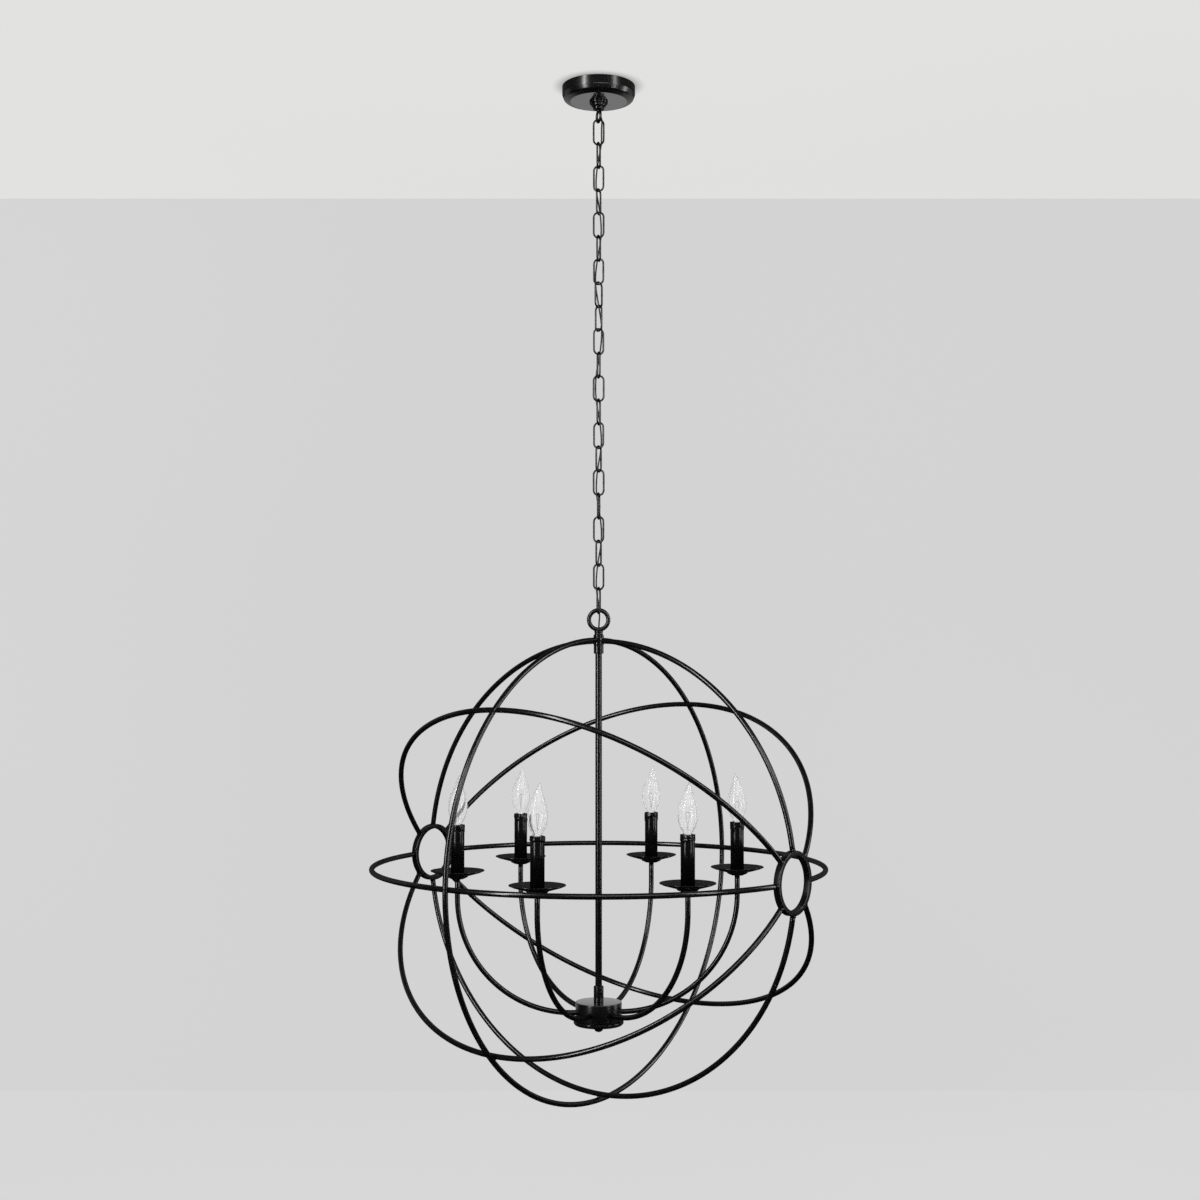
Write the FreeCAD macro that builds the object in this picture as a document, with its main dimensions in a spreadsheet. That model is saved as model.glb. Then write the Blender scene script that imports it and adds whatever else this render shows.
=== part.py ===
"""Orb chandelier: six candle arms inside an orb of hoops, hung from a ceiling canopy by a link chain.

Millimetres, +Z up. The origin is on the ceiling, at the centre of the canopy, and everything hangs below
it. X runs along the plane of the big ring that the orb hangs from, and -Y is the front.
"""
import FreeCAD, Part
import math
import os
import Sketcher

SIZES = {
    # canopy and what holds it up
    "canopy_diameter": 125.0,
    "canopy_depth": 26.5,
    "canopy_sheet": 1.2,
    "canopy_shoulder": 13.0,
    "strap_length": 106.0,
    "strap_width": 20.0,
    "strap_sheet": 2.0,
    "strap_slot_near": 69.85,
    "strap_slot_far": 88.9,
    "strap_slot_width": 4.4,
    "ground_screw_place": 24.0,
    "ground_screw_diameter": 4.0,
    "ground_head_diameter": 8.0,
    "ground_head_height": 2.4,
    "nipple_diameter": 9.6,
    "nipple_bore": 4.4,
    "nipple_seat_depth": 5.0,
    "locknut_width": 15.0,
    "locknut_height": 3.5,
    "collar_diameter": 31.5,
    "collar_height": 3.8,
    "collar_step_diameter": 25.0,
    "collar_step_height": 4.4,
    "collar_boss_diameter": 19.0,
    "collar_boss_height": 6.0,
    "thread_gap": 0.2,
    # canopy ring, chain and supply cord
    "canopy_ring_diameter": 24.6,
    "canopy_ring_wire": 4.4,
    "canopy_ring_sink": 1.6,
    "link_wire": 3.2,
    "link_inner_length": 40.5,
    "link_outer_width": 20.4,
    "chain_gap": 0.3,
    "cord_diameter": 2.6,
    "cord_gap": 0.4,
    "cord_ease": 1.2,
    "cord_end_length": 12.0,
    # hanging ring, top hub and stem
    "orb_ring_diameter": 40.0,
    "orb_ring_wire": 7.2,
    "ring_boss_diameter": 17.6,
    "ring_boss_height": 8.8,
    "ring_neck_diameter": 14.0,
    "ring_waist_share": 0.4,
    "top_hub_diameter": 17.8,
    "top_hub_height": 14.0,
    "coupler_diameter": 15.8,
    "top_coupler_length": 14.4,
    "low_coupler_length": 26.0,
    "stem_diameter": 10.4,
    "stem_gap": 0.1,
    # orb hoops and side rings
    "hoop_radius": 379.5,
    "hoop_tube": 8.0,
    "hoop_turn": -36.7,
    "cross_hoop_standoff": 6.0,
    "cross_hoop_drop": 4.0,
    "side_ring_diameter": 101.0,
    "side_ring_bore": 85.0,
    "side_ring_width": 11.0,
    # hub below the stem
    "hub_depth": 226.0,
    "hub_diameter": 77.8,
    "hub_height": 31.5,
    "hub_sheet": 1.5,
    "base_diameter": 84.0,
    "base_height": 6.5,
    "base_chamfer": 2.5,
    "base_lip_height": 4.0,
    "base_lip_width": 2.0,
    "lip_gap": 0.2,
    "rod_diameter": 9.6,
    "finial_diameter": 16.8,
    "finial_height": 12.8,
    # arms and candles
    "arm_count": 6,
    "arm_turn": 6.3,
    "arm_tube": 8.0,
    "arm_hole_gap": 0.15,
    "arm_below_top": 17.5,
    "arm_bend_radius": 195.0,
    "arm_inside": 6.0,
    "arm_nut_width": 13.0,
    "arm_nut_height": 4.0,
    "candle_circle": 237.0,
    "pan_rim_depth": 4.0,
    "pan_diameter": 90.0,
    "pan_sheet": 1.2,
    "pan_dish_depth": 9.0,
    "pan_cup_diameter": 36.0,
    "pan_cup_depth": 5.0,
    "pan_cup_share": 0.4,
    "pan_foot_diameter": 20.0,
    "holder_diameter": 17.0,
    "holder_bore": 12.6,
    "holder_neck_diameter": 12.0,
    "holder_sink": 3.0,
    "holder_seat_gap": 0.3,
    "sleeve_diameter": 22.0,
    "sleeve_wall": 1.2,
    "sleeve_length": 84.0,
    "sleeve_collar_diameter": 23.6,
    "sleeve_collar_length": 11.0,
    "bulb_diameter": 32.0,
    "bulb_neck_diameter": 15.0,
    "bulb_glass_length": 84.0,
    "bulb_tip_lean": 4.6,
    "bulb_cap_diameter": 12.0,
    "bulb_cap_length": 20.0,
    "bulb_sink": 1.5,
    "bulb_glass_wall": 1.0,
    "filament_height": 34.0,
    "filament_span": 9.0,
    "filament_wire": 0.8,
    "filament_post_diameter": 4.5,
    "filament_post_height": 15.0,
}

# How far each link is turned about the chain's line from the plane of the hanging ring, top to bottom.
LINK_TURNS = [
    0, 74, -18, 68, -10, 72, -22, 50, -54, 22, -76, 0, 74, -24, 62, -4, 80, -20, 62, -18, 74,
]
CANOPY_RING_TURN = -72

SECTION_SIDES = 8
BEND_STEPS = 6
ARM_STEPS = 10
RING_STEPS = 16
HOOP_STEPS = 48
SHOULDER_STEPS = 3
ROUND_SIDES = 36
PAN_SIDES = 24
SMALL_SIDES = 12

X_AXIS = FreeCAD.Vector(1, 0, 0)
Y_AXIS = FreeCAD.Vector(0, 1, 0)
Z_AXIS = FreeCAD.Vector(0, 0, 1)

doc = FreeCAD.newDocument("OrbChandelier")
sheet = doc.addObject("Spreadsheet::Sheet", "Dimensions")
for row, (alias, number) in enumerate(SIZES.items(), start=1):
    sheet.set(f"A{row}", alias)
    sheet.set(f"B{row}", str(number))
    sheet.setAlias(f"B{row}", alias)
doc.recompute()


class Size:
    """A length or angle with its value and the expression over the sheet that gives it."""

    def __init__(self, value, text):
        self.value = value
        self.text = text

    def __add__(self, other):
        other = as_size(other)
        return Size(self.value + other.value, f"({self.text} + {other.text})")

    def __sub__(self, other):
        other = as_size(other)
        return Size(self.value - other.value, f"({self.text} - {other.text})")

    def __mul__(self, other):
        other = as_size(other)
        return Size(self.value * other.value, f"({self.text} * {other.text})")

    def __truediv__(self, other):
        other = as_size(other)
        return Size(self.value / other.value, f"({self.text} / {other.text})")

    def __neg__(self):
        return Size(-self.value, f"(0 - {self.text})")


def as_size(number):
    return number if isinstance(number, Size) else Size(float(number), repr(float(number)))


def size(alias):
    return Size(sheet.get(alias), f"Dimensions.{alias}")


def square_root(amount):
    return Size(math.sqrt(amount.value), f"sqrt({amount.text})")


def bind(item, name, amount):
    item.setExpression(name, as_size(amount).text)


def place(item, x=0, y=0, z=0, turn=0, axis=Z_AXIS):
    """Put an object at x, y, z, turned about an axis, each bound to the sheet."""
    item.Placement = FreeCAD.Placement(
        FreeCAD.Vector(as_size(x).value, as_size(y).value, as_size(z).value),
        FreeCAD.Rotation(axis, as_size(turn).value),
    )
    bind(item, "Placement.Base.x", x)
    bind(item, "Placement.Base.y", y)
    bind(item, "Placement.Base.z", z)
    return item


def origin_plane(body, role):
    return next(item for item in body.Origin.OriginFeatures if item.Role == role)


def new_sketch(body, name, role="XZ_Plane", lift=None):
    sketch = body.newObject("Sketcher::SketchObject", name)
    sketch.AttachmentSupport = (origin_plane(body, role), [""])
    sketch.MapMode = "FlatFace"
    if lift is not None:
        bind(sketch, "AttachmentOffset.Base.z", lift)
    return sketch


def draw_outline(sketch, corners, closed=True):
    """Straight edges between corners, each corner held at its two distances from the origin."""
    count = len(corners)
    last = count if closed else count - 1
    for index in range(last):
        start = corners[index]
        end = corners[(index + 1) % count]
        sketch.addGeometry(
            Part.LineSegment(
                FreeCAD.Vector(as_size(start[0]).value, as_size(start[1]).value, 0),
                FreeCAD.Vector(as_size(end[0]).value, as_size(end[1]).value, 0),
            ),
            False,
        )
    for index in range(last - 1):
        sketch.addConstraint(Sketcher.Constraint("Coincident", index, 2, index + 1, 1))
    if closed:
        sketch.addConstraint(Sketcher.Constraint("Coincident", last - 1, 2, 0, 1))
    for index, corner in enumerate(corners):
        edge, end = (index, 1) if index < last else (last - 1, 2)
        for kind, amount in (("DistanceX", corner[0]), ("DistanceY", corner[1])):
            amount = as_size(amount)
            number = sketch.addConstraint(Sketcher.Constraint(kind, -1, 1, edge, end, amount.value))
            sketch.setExpression(f"Constraints[{number}]", amount.text)
    return sketch


def draw_circle(sketch, x, y, diameter):
    """A circle whose centre and radius are bound to the sheet."""
    x, y, radius = as_size(x), as_size(y), as_size(diameter) / 2
    edge = sketch.addGeometry(Part.Circle(FreeCAD.Vector(x.value, y.value, 0), Z_AXIS, radius.value), False)
    for kind, amount in (("DistanceX", x), ("DistanceY", y)):
        number = sketch.addConstraint(Sketcher.Constraint(kind, -1, 1, edge, 3, amount.value))
        sketch.setExpression(f"Constraints[{number}]", amount.text)
    number = sketch.addConstraint(Sketcher.Constraint("Radius", edge, radius.value))
    sketch.setExpression(f"Constraints[{number}]", radius.text)
    return sketch


def new_body(name):
    body = doc.addObject("PartDesign::Body", name)
    body.Label = name
    return body


def prism(name, sides, width, height, z=0, x=0, turn=0, axis=Z_AXIS):
    """A straight bar with flat sides, its width taken across the flats."""
    item = doc.addObject("Part::Prism", name)
    item.Polygon = sides
    bind(item, "Circumradius", as_size(width) * (0.5 / math.cos(math.pi / sides)))
    bind(item, "Height", height)
    return place(item, x, 0, z, turn, axis)


def cut(name, base, tools):
    """The base object less every tool."""
    for number, tool in enumerate(tools, start=1):
        result = doc.addObject("Part::Cut", name if number == len(tools) else f"{name}Cut{number}")
        result.Base = base
        result.Tool = tool
        base = result
    base.Label = name
    return base


def fuse(name, pieces):
    joined = doc.addObject("Part::MultiFuse", name)
    joined.Shapes = pieces
    joined.Label = name
    return joined


def group(name, pieces):
    together = doc.addObject("Part::Compound", name)
    together.Links = pieces
    together.Label = name
    return together


def turned_copy(name, master, z=0, turn=0):
    """The same piece again, lifted and turned about the chandelier's own line."""
    copy = group(name, [master])
    place(copy, z=z, turn=turn)
    bind(copy, "Placement.Rotation.Angle", turn)
    return copy


tube_share = math.sqrt(2 * math.pi / (SECTION_SIDES * math.sin(2 * math.pi / SECTION_SIDES)))


def tube_corners(centre, diameter):
    """Corners of a polygon round a centre that has the same area as the round section."""
    corners = []
    for step in range(SECTION_SIDES):
        angle = 2 * math.pi * (step + 0.5) / SECTION_SIDES
        reach = diameter / 2 * tube_share
        corners.append((centre[0] + reach * math.cos(angle), centre[1] + reach * math.sin(angle)))
    return corners


def bend_corners(centre, reach, start, turn, steps):
    """Corners of straight runs that touch an arc, starting and ending on the arc's own tangents."""
    share = turn / steps
    swell = 1 / math.cos(share / 2)
    corners = []
    for step in range(steps):
        angle = start + share * (step + 0.5)
        corners.append(
            (centre[0] + reach * (math.cos(angle) * swell), centre[1] + reach * (math.sin(angle) * swell))
        )
    return corners


def mitred_sweep(name, path_corners, path_role, section_corners, section_role, lift=None, closed=True):
    """A section carried along straight runs with mitred corners."""
    body = new_body(name)
    path = draw_outline(new_sketch(body, f"{name}Path", path_role), path_corners, closed)
    section = draw_outline(new_sketch(body, f"{name}Section", section_role, lift), section_corners)
    sweep = body.newObject("PartDesign::AdditivePipe", f"{name}Sweep")
    sweep.Profile = section
    sweep.Spine = path
    sweep.Transition = "Right corner"
    doc.recompute()
    return body


def ring_corners(reach, steps):
    """Corners of a closed ring of flat sides, from the middle of the side on the X axis."""
    nought = as_size(0)
    return [(reach, nought)] + bend_corners((nought, nought), reach, 0, 2 * math.pi, steps)


def ring_body(name, reach, diameter, steps):
    """A ring of round wire in the XZ plane, centred on the origin."""
    section = tube_corners((reach, as_size(0)), diameter)
    return mitred_sweep(name, ring_corners(reach, steps), "XZ_Plane", section, "XY_Plane")


def flat_sided(name, outline, sides):
    """An open outline of radius and height carried round the Z axis in flat sides."""
    return mitred_sweep(name, ring_corners(as_size(outline[0][0]), sides), "XY_Plane", outline, "XZ_Plane")


# ---- heights down the chandelier -------------------------------------------------------------------

canopy_floor = -size("canopy_depth")
collar_foot = canopy_floor - size("collar_height") - size("collar_step_height")
canopy_boss_foot = collar_foot - size("collar_boss_height")
canopy_ring_reach = (size("canopy_ring_diameter") - size("canopy_ring_wire")) / 2
canopy_ring_centre = canopy_boss_foot - size("canopy_ring_diameter") / 2 + size("canopy_ring_sink")
canopy_ring_foot = canopy_ring_centre - canopy_ring_reach

link_centre_length = size("link_inner_length") + size("link_wire")
link_step = size("link_inner_length") - size("chain_gap")
first_link_top = canopy_ring_foot + (size("canopy_ring_wire") + size("link_wire")) / 2 + size("chain_gap")
last_link_top = first_link_top - link_step * (len(LINK_TURNS) - 1)
last_link_foot = last_link_top - link_centre_length

orb_ring_reach = (size("orb_ring_diameter") - size("orb_ring_wire")) / 2
orb_ring_top = last_link_foot + (size("orb_ring_wire") + size("link_wire")) / 2 + size("chain_gap")
orb_ring_centre = orb_ring_top - orb_ring_reach
top_hub_top = orb_ring_centre - size("orb_ring_diameter") / 2 - size("ring_boss_height")
top_hub_foot = top_hub_top - size("top_hub_height")
orb_centre = top_hub_top - size("top_hub_height") / 2 - size("hoop_radius")
cross_hoop_centre = orb_centre - size("cross_hoop_drop")

hub_top = orb_centre - size("hub_depth")
hub_foot = hub_top - size("hub_height")
base_foot = hub_foot - size("base_height")
finial_foot = base_foot - size("finial_height")
arm_height = hub_top - size("arm_below_top")
pan_rim = orb_centre - size("pan_rim_depth")
pan_floor = pan_rim - size("pan_dish_depth")
pan_foot = pan_floor - size("pan_cup_depth")
sleeve_foot = pan_floor + size("pan_sheet")
sleeve_top = sleeve_foot + size("sleeve_length")
nipple_hole = size("nipple_diameter") + size("thread_gap") * 2
rod_hole = size("rod_diameter") + size("thread_gap") * 2
arm_hole = size("arm_tube") * tube_share + size("arm_hole_gap") * 2
glass_foot = sleeve_top - size("bulb_sink")
holder_top = sleeve_top - size("holder_sink")
socket_floor = glass_foot - size("bulb_cap_length") - size("holder_seat_gap")
side_ring_reach = square_root(
    size("hoop_radius") * size("hoop_radius") - size("side_ring_diameter") * size("side_ring_diameter") / 4
)


# ---- canopy group ----------------------------------------------------------------------------------


def make_mounting_strap():
    """The steel crossbar that is screwed to the ceiling box, slotted for both box screw spacings."""
    body = new_body("mounting_strap")
    half_length, half_width = size("strap_length") / 2, size("strap_width") / 2
    sketch = new_sketch(body, "StrapOutline", "XY_Plane", -size("strap_sheet"))
    draw_outline(
        sketch,
        [
            (-half_length, -half_width),
            (half_length, -half_width),
            (half_length, half_width),
            (-half_length, half_width),
        ],
    )
    pad = body.newObject("PartDesign::Pad", "StrapPlate")
    pad.Profile = sketch
    bind(pad, "Length", size("strap_sheet"))
    doc.recompute()
    holes = new_sketch(body, "StrapHoles", "XY_Plane")
    draw_circle(holes, 0, 0, size("nipple_diameter") + size("thread_gap") * 2)
    draw_circle(
        holes, size("ground_screw_place"), 0, size("ground_screw_diameter") + size("thread_gap") * 2
    )
    near, far = size("strap_slot_near") / 2, size("strap_slot_far") / 2
    for side in (-1, 1):
        draw_slot(holes, near * side, far * side, size("strap_slot_width"))
    pocket = body.newObject("PartDesign::Pocket", "StrapPierced")
    pocket.Profile = holes
    pocket.Type = "ThroughAll"
    pocket.Midplane = True
    doc.recompute()
    return body


def draw_slot(sketch, start, end, width):
    """A slot with round ends along the sketch's X axis."""
    low, high = (start, end) if start.value < end.value else (end, start)
    half = width / 2
    up, down = math.pi / 2, 3 * math.pi / 2
    first = sketch.GeometryCount
    left = Part.Circle(FreeCAD.Vector(low.value, 0, 0), Z_AXIS, half.value)
    right = Part.Circle(FreeCAD.Vector(high.value, 0, 0), Z_AXIS, half.value)
    sketch.addGeometry(Part.ArcOfCircle(left, up, down), False)
    sketch.addGeometry(Part.ArcOfCircle(right, down, up + 2 * math.pi), False)
    for sign in (1, -1):
        sketch.addGeometry(
            Part.LineSegment(
                FreeCAD.Vector(low.value, sign * half.value, 0),
                FreeCAD.Vector(high.value, sign * half.value, 0),
            ),
            False,
        )
    for edge, end, arc, arc_end in ((2, 1, 0, 1), (3, 1, 0, 2), (2, 2, 1, 2), (3, 2, 1, 1)):
        sketch.addConstraint(Sketcher.Constraint("Tangent", first + edge, end, first + arc, arc_end))
    for arc, centre in ((0, low), (1, high)):
        number = sketch.addConstraint(
            Sketcher.Constraint("DistanceX", -1, 1, first + arc, 3, centre.value)
        )
        sketch.setExpression(f"Constraints[{number}]", centre.text)
    sketch.addConstraint(Sketcher.Constraint("PointOnObject", first, 3, -1))
    number = sketch.addConstraint(Sketcher.Constraint("Radius", first, half.value))
    sketch.setExpression(f"Constraints[{number}]", half.text)


def shoulder(outer, floor, radius, steps):
    """Points down a rounded shoulder from the wall to the floor."""
    points = []
    for step in range(steps + 1):
        angle = math.pi / 2 * step / steps
        points.append(
            (outer - radius + radius * math.cos(angle), floor + radius - radius * math.sin(angle))
        )
    return points


def make_canopy():
    """A spun dish, open at the ceiling, with a rounded shoulder and a centre hole."""
    thick, hole = size("canopy_sheet"), nipple_hole / 2
    outer, bend = size("canopy_diameter") / 2, size("canopy_shoulder")
    outside = shoulder(outer, canopy_floor, bend, SHOULDER_STEPS)
    inside = shoulder(outer - thick, canopy_floor + thick, bend - thick, SHOULDER_STEPS)
    outline = [(hole, canopy_floor + thick)] + inside[::-1] + [(outer - thick, 0), (outer, 0)]
    return flat_sided("canopy", outline + outside + [(hole, canopy_floor)], ROUND_SIDES)


def hex_nut(name, width, height, hole, foot):
    """A six-sided nut standing on a height, its hole along Z."""
    drill = prism(f"{name}Drill", SMALL_SIDES, hole, height, foot)
    return cut(name, prism(f"{name}Blank", 6, width, height, foot), [drill])


def make_locknut():
    """The nut that holds the nipple in the strap."""
    height = size("locknut_height")
    return hex_nut("locknut", size("locknut_width"), height, nipple_hole, -size("strap_sheet") - height)


def make_ground_screw():
    """A round-head screw in the strap, for the earth wire."""
    reach = size("strap_sheet")
    head = prism(
        "GroundHead", SMALL_SIDES, size("ground_head_diameter"), size("ground_head_height"),
        -reach - size("ground_head_height"),
    )
    shank = prism("GroundShank", SMALL_SIDES, size("ground_screw_diameter"), reach, -reach)
    return place(fuse("ground_screw", [head, shank]), x=size("ground_screw_place"))


def make_nipple():
    """The threaded tube that carries the chandelier from the strap."""
    foot = collar_foot - size("nipple_seat_depth")
    bore = prism("NippleBore", SMALL_SIDES, size("nipple_bore"), -foot, foot)
    return cut("nipple", prism("NippleTube", SMALL_SIDES, size("nipple_diameter"), -foot, foot), [bore])


def make_collar_nut():
    """The stepped ring nut that holds the canopy against the ceiling."""
    hole, flange, step = nipple_hole / 2, size("collar_diameter") / 2, size("collar_step_diameter") / 2
    flange_foot = canopy_floor - size("collar_height")
    outline = [
        (hole, collar_foot),
        (step, collar_foot),
        (step, flange_foot),
        (flange, flange_foot),
        (flange, canopy_floor),
        (hole, canopy_floor),
    ]
    return flat_sided("collar_nut", outline, PAN_SIDES)


def upright_ring(name, reach, wire, height, turn):
    """A ring of wire standing upright, its plane turned about the chandelier's line."""
    return turned_copy(f"{name}Upright", ring_body(f"{name}Ring", reach, wire, RING_STEPS), height, turn)


def make_canopy_loop():
    """The ring under the collar, cast with its boss; the nipple and the cord go up through the boss."""
    ring = upright_ring(
        "CanopyLoop", canopy_ring_reach, size("canopy_ring_wire"), canopy_ring_centre, CANOPY_RING_TURN
    )
    boss_height, wire = size("collar_boss_height"), size("canopy_ring_wire")
    boss = prism("CanopyLoopBoss", PAN_SIDES, size("collar_boss_diameter"), boss_height, canopy_boss_foot)
    seat = prism(
        "CanopyLoopSeat", SMALL_SIDES, nipple_hole, size("nipple_seat_depth"),
        collar_foot - size("nipple_seat_depth"),
    )
    bore_height = boss_height + wire
    bore = prism("CanopyLoopBore", SMALL_SIDES, size("nipple_bore"), bore_height, canopy_boss_foot - wire)
    return cut("canopy_loop", fuse("CanopyLoopCast", [boss, ring]), [seat, bore])


# ---- chain -----------------------------------------------------------------------------------------


def make_link_master():
    """One oval link of round wire in the XZ plane, its top at the origin."""
    reach = (size("link_outer_width") - size("link_wire")) / 2
    middle = -(link_centre_length / 2)
    corners = [(-reach, middle)]
    corners += bend_corners((as_size(0), -reach), reach, math.pi, -math.pi, BEND_STEPS)
    corners += bend_corners((as_size(0), reach - link_centre_length), reach, 0, -math.pi, BEND_STEPS)
    section = tube_corners((-reach, as_size(0)), size("link_wire"))
    return mitred_sweep("LinkMaster", corners, "XZ_Plane", section, "XY_Plane", middle)


def make_chain():
    """Every link hangs in the one above, turned out of its plane."""
    master = make_link_master()
    links = []
    for number, turn in enumerate(LINK_TURNS, start=1):
        height = first_link_top - link_step * (number - 1)
        links.append(turned_copy(f"link_{number:02d}", master, height, turn))
    return links


# ---- hanging ring, top hub and stem ----------------------------------------------------------------


def make_orb_loop():
    """The big ring that the orb hangs from, on its necked boss, with the hole that takes the cord."""
    ring = upright_ring("OrbLoop", orb_ring_reach, size("orb_ring_wire"), orb_ring_centre, 0)
    boss, wire = size("ring_boss_height"), size("orb_ring_wire")
    waist, neck = boss * size("ring_waist_share"), size("ring_neck_diameter")
    foot = prism("OrbLoopFoot", PAN_SIDES, size("ring_boss_diameter"), waist, top_hub_top)
    stalk = prism("OrbLoopNeck", PAN_SIDES, neck, boss - waist + wire / 2, top_hub_top + waist)
    bore = prism("OrbLoopBore", SMALL_SIDES, size("nipple_bore"), boss + wire * 1.5, top_hub_top)
    return cut("orb_loop", fuse("OrbLoopCast", [foot, stalk, ring]), [bore])


def make_top_hub():
    """The short hub that the upright hoops are welded to."""
    hub = prism("TopHubBar", PAN_SIDES, size("top_hub_diameter"), size("top_hub_height"), top_hub_foot)
    return turned_copy("top_hub", hub, 0, size("hoop_turn"))


def make_coupler(name, foot, length):
    """A plain bush round the stem."""
    bore = prism(f"{name}Bore", SMALL_SIDES, size("stem_diameter") + size("stem_gap") * 2, length, foot)
    return cut(name, prism(f"{name}Bush", PAN_SIDES, size("coupler_diameter"), length, foot), [bore])


def make_stem_couplers():
    """The short bush under the top hub and the long one on the drum."""
    short = size("top_coupler_length")
    return group(
        "stem_couplers",
        [
            make_coupler("TopCoupler", top_hub_foot - short, short),
            make_coupler("LowCoupler", hub_top, size("low_coupler_length")),
        ],
    )


def make_stem():
    """The straight rod from the top hub down to the hub."""
    return prism("stem", SMALL_SIDES, size("stem_diameter"), top_hub_foot - hub_top, hub_top)


# ---- orb hoops -------------------------------------------------------------------------------------


def make_hoops():
    """Four hoops between the side rings and one across them, each coped where it is welded."""
    reach = size("hoop_radius") * 1.1
    side_seat = prism(
        "SideRingSeat", ROUND_SIDES, size("side_ring_diameter"), reach * 2, x=-reach, turn=90, axis=Y_AXIS
    )
    hub_height = size("top_hub_height")
    hub_seat = prism(
        "HubSeat", PAN_SIDES, size("top_hub_diameter"), hub_height, size("hoop_radius") - hub_height / 2
    )
    master = ring_body("HoopRing", size("hoop_radius"), size("hoop_tube"), HOOP_STEPS)
    whole, coped = [], []
    tilts = {"hoop_level": 90, "hoop_tilted_a": -45, "hoop_upright": 0, "hoop_tilted_b": 45}
    for name, tilt in tilts.items():
        ring = group(f"{name}Ring", [master])
        place(ring, turn=tilt, axis=X_AXIS)
        whole.append(ring)
        tools = [side_seat, hub_seat] if name == "hoop_upright" else [side_seat]
        coped.append((name, cut(f"{name}Coped", ring, tools)))
    cross_reach = size("hoop_radius") + size("cross_hoop_standoff")
    cross = ring_body("CrossRing", cross_reach, size("hoop_tube"), HOOP_STEPS)
    place(cross, z=-size("cross_hoop_drop"), turn=90)
    coped.append(("hoop_cross", cut("CrossCoped", cross, [hub_seat] + whole)))
    return [turned_copy(name, hoop, orb_centre, size("hoop_turn")) for name, hoop in coped]


def make_side_rings():
    """The two flat rings that the hoops meet at."""
    width = size("side_ring_width")
    outer = prism("SideRingBlank", ROUND_SIDES, size("side_ring_diameter"), width, -(width / 2))
    bore = prism("SideRingBore", ROUND_SIDES, size("side_ring_bore"), width, -(width / 2))
    master = group("SideRing", [cut("SideRingFlat", outer, [bore])])
    place(master, x=side_ring_reach, turn=90, axis=Y_AXIS)
    return [
        turned_copy("side_ring_right", master, orb_centre, size("hoop_turn")),
        turned_copy("side_ring_left", master, orb_centre, size("hoop_turn") + 180),
    ]


# ---- hub -------------------------------------------------------------------------------------------


def make_hub_cover():
    """The drum: a closed top, a thin wall and a hole for every arm."""
    outer, hole, thick = size("hub_diameter") / 2, rod_hole / 2, size("hub_sheet")
    wall = [(outer - thick, hub_foot), (outer, hub_foot), (outer, hub_top)]
    outline = [(hole, hub_top), (hole, hub_top - thick), (outer - thick, hub_top - thick)] + wall
    shell = flat_sided("HubShell", outline, ROUND_SIDES)
    drill = prism("HubDrill", SMALL_SIDES, arm_hole, outer, arm_height, turn=90, axis=Y_AXIS)
    drills = [turned_copy(f"HubDrill{number}", drill, 0, turn) for number, turn in enumerate(arm_turns())]
    return turned_copy("hub_cover", cut("HubDrum", shell, drills), 0, size("arm_turn"))


def make_hub_base():
    """The plate that closes the drum, with a lip inside its wall."""
    outer, hole = size("base_diameter") / 2, rod_hole / 2
    lip = size("hub_diameter") / 2 - size("hub_sheet") - size("lip_gap")
    inner = lip - size("base_lip_width")
    lip_top, slope = hub_foot + size("base_lip_height"), size("base_chamfer")
    outline = [
        (hole, base_foot), (outer - slope, base_foot), (outer, base_foot + slope), (outer, hub_foot),
        (lip, hub_foot), (lip, lip_top), (inner, lip_top), (inner, hub_foot), (hole, hub_foot),
    ]
    return turned_copy("hub_base", flat_sided("HubPlate", outline, ROUND_SIDES), 0, size("arm_turn"))


def make_centre_rod():
    """The threaded rod that ties the stem, drum and finial together."""
    foot = base_foot - size("finial_height") / 2
    return prism("centre_rod", SMALL_SIDES, size("rod_diameter"), hub_top - foot, foot)


def make_finial():
    """The domed nut under the hub."""
    outer, hole = size("finial_diameter") / 2, rod_hole / 2
    seat = base_foot - size("finial_height") / 2
    dome = shoulder(outer, finial_foot, outer, SHOULDER_STEPS)[:2] + [(hole, finial_foot)]
    shell = flat_sided("FinialDome", [(hole, base_foot), (outer, base_foot)] + dome, SMALL_SIDES)
    core = prism(
        "FinialCore", SMALL_SIDES, hole * 2, seat - finial_foot, finial_foot, turn=180 / SMALL_SIDES
    )
    return fuse("finial", [shell, core])


# ---- arms and candles ------------------------------------------------------------------------------


def make_arm_master():
    """A tube out of the drum, round a quarter circle and straight up to the candle."""
    bend, reach = size("arm_bend_radius"), size("candle_circle")
    start = size("hub_diameter") / 2 - size("arm_inside")
    corners = [(start, arm_height)]
    corners += bend_corners(
        (reach - bend, arm_height + bend), bend, -math.pi / 2, math.pi / 2, ARM_STEPS
    )
    corners.append((reach, sleeve_foot))
    section = tube_corners((as_size(0), arm_height), size("arm_tube"))
    return mitred_sweep("ArmMaster", corners, "XZ_Plane", section, "YZ_Plane", start, False)


def make_arm_nut_master():
    """The nut that clamps an arm inside the drum's wall."""
    wall, half = size("hub_diameter") / 2 - size("hub_sheet"), size("arm_nut_width") / math.sqrt(3)
    outer_face = square_root(wall * wall - half * half)
    nut = hex_nut("ArmNut", size("arm_nut_width"), size("arm_nut_height"), arm_hole, as_size(0))
    return place(nut, x=outer_face - size("arm_nut_height"), z=arm_height, turn=90, axis=Y_AXIS)


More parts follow.
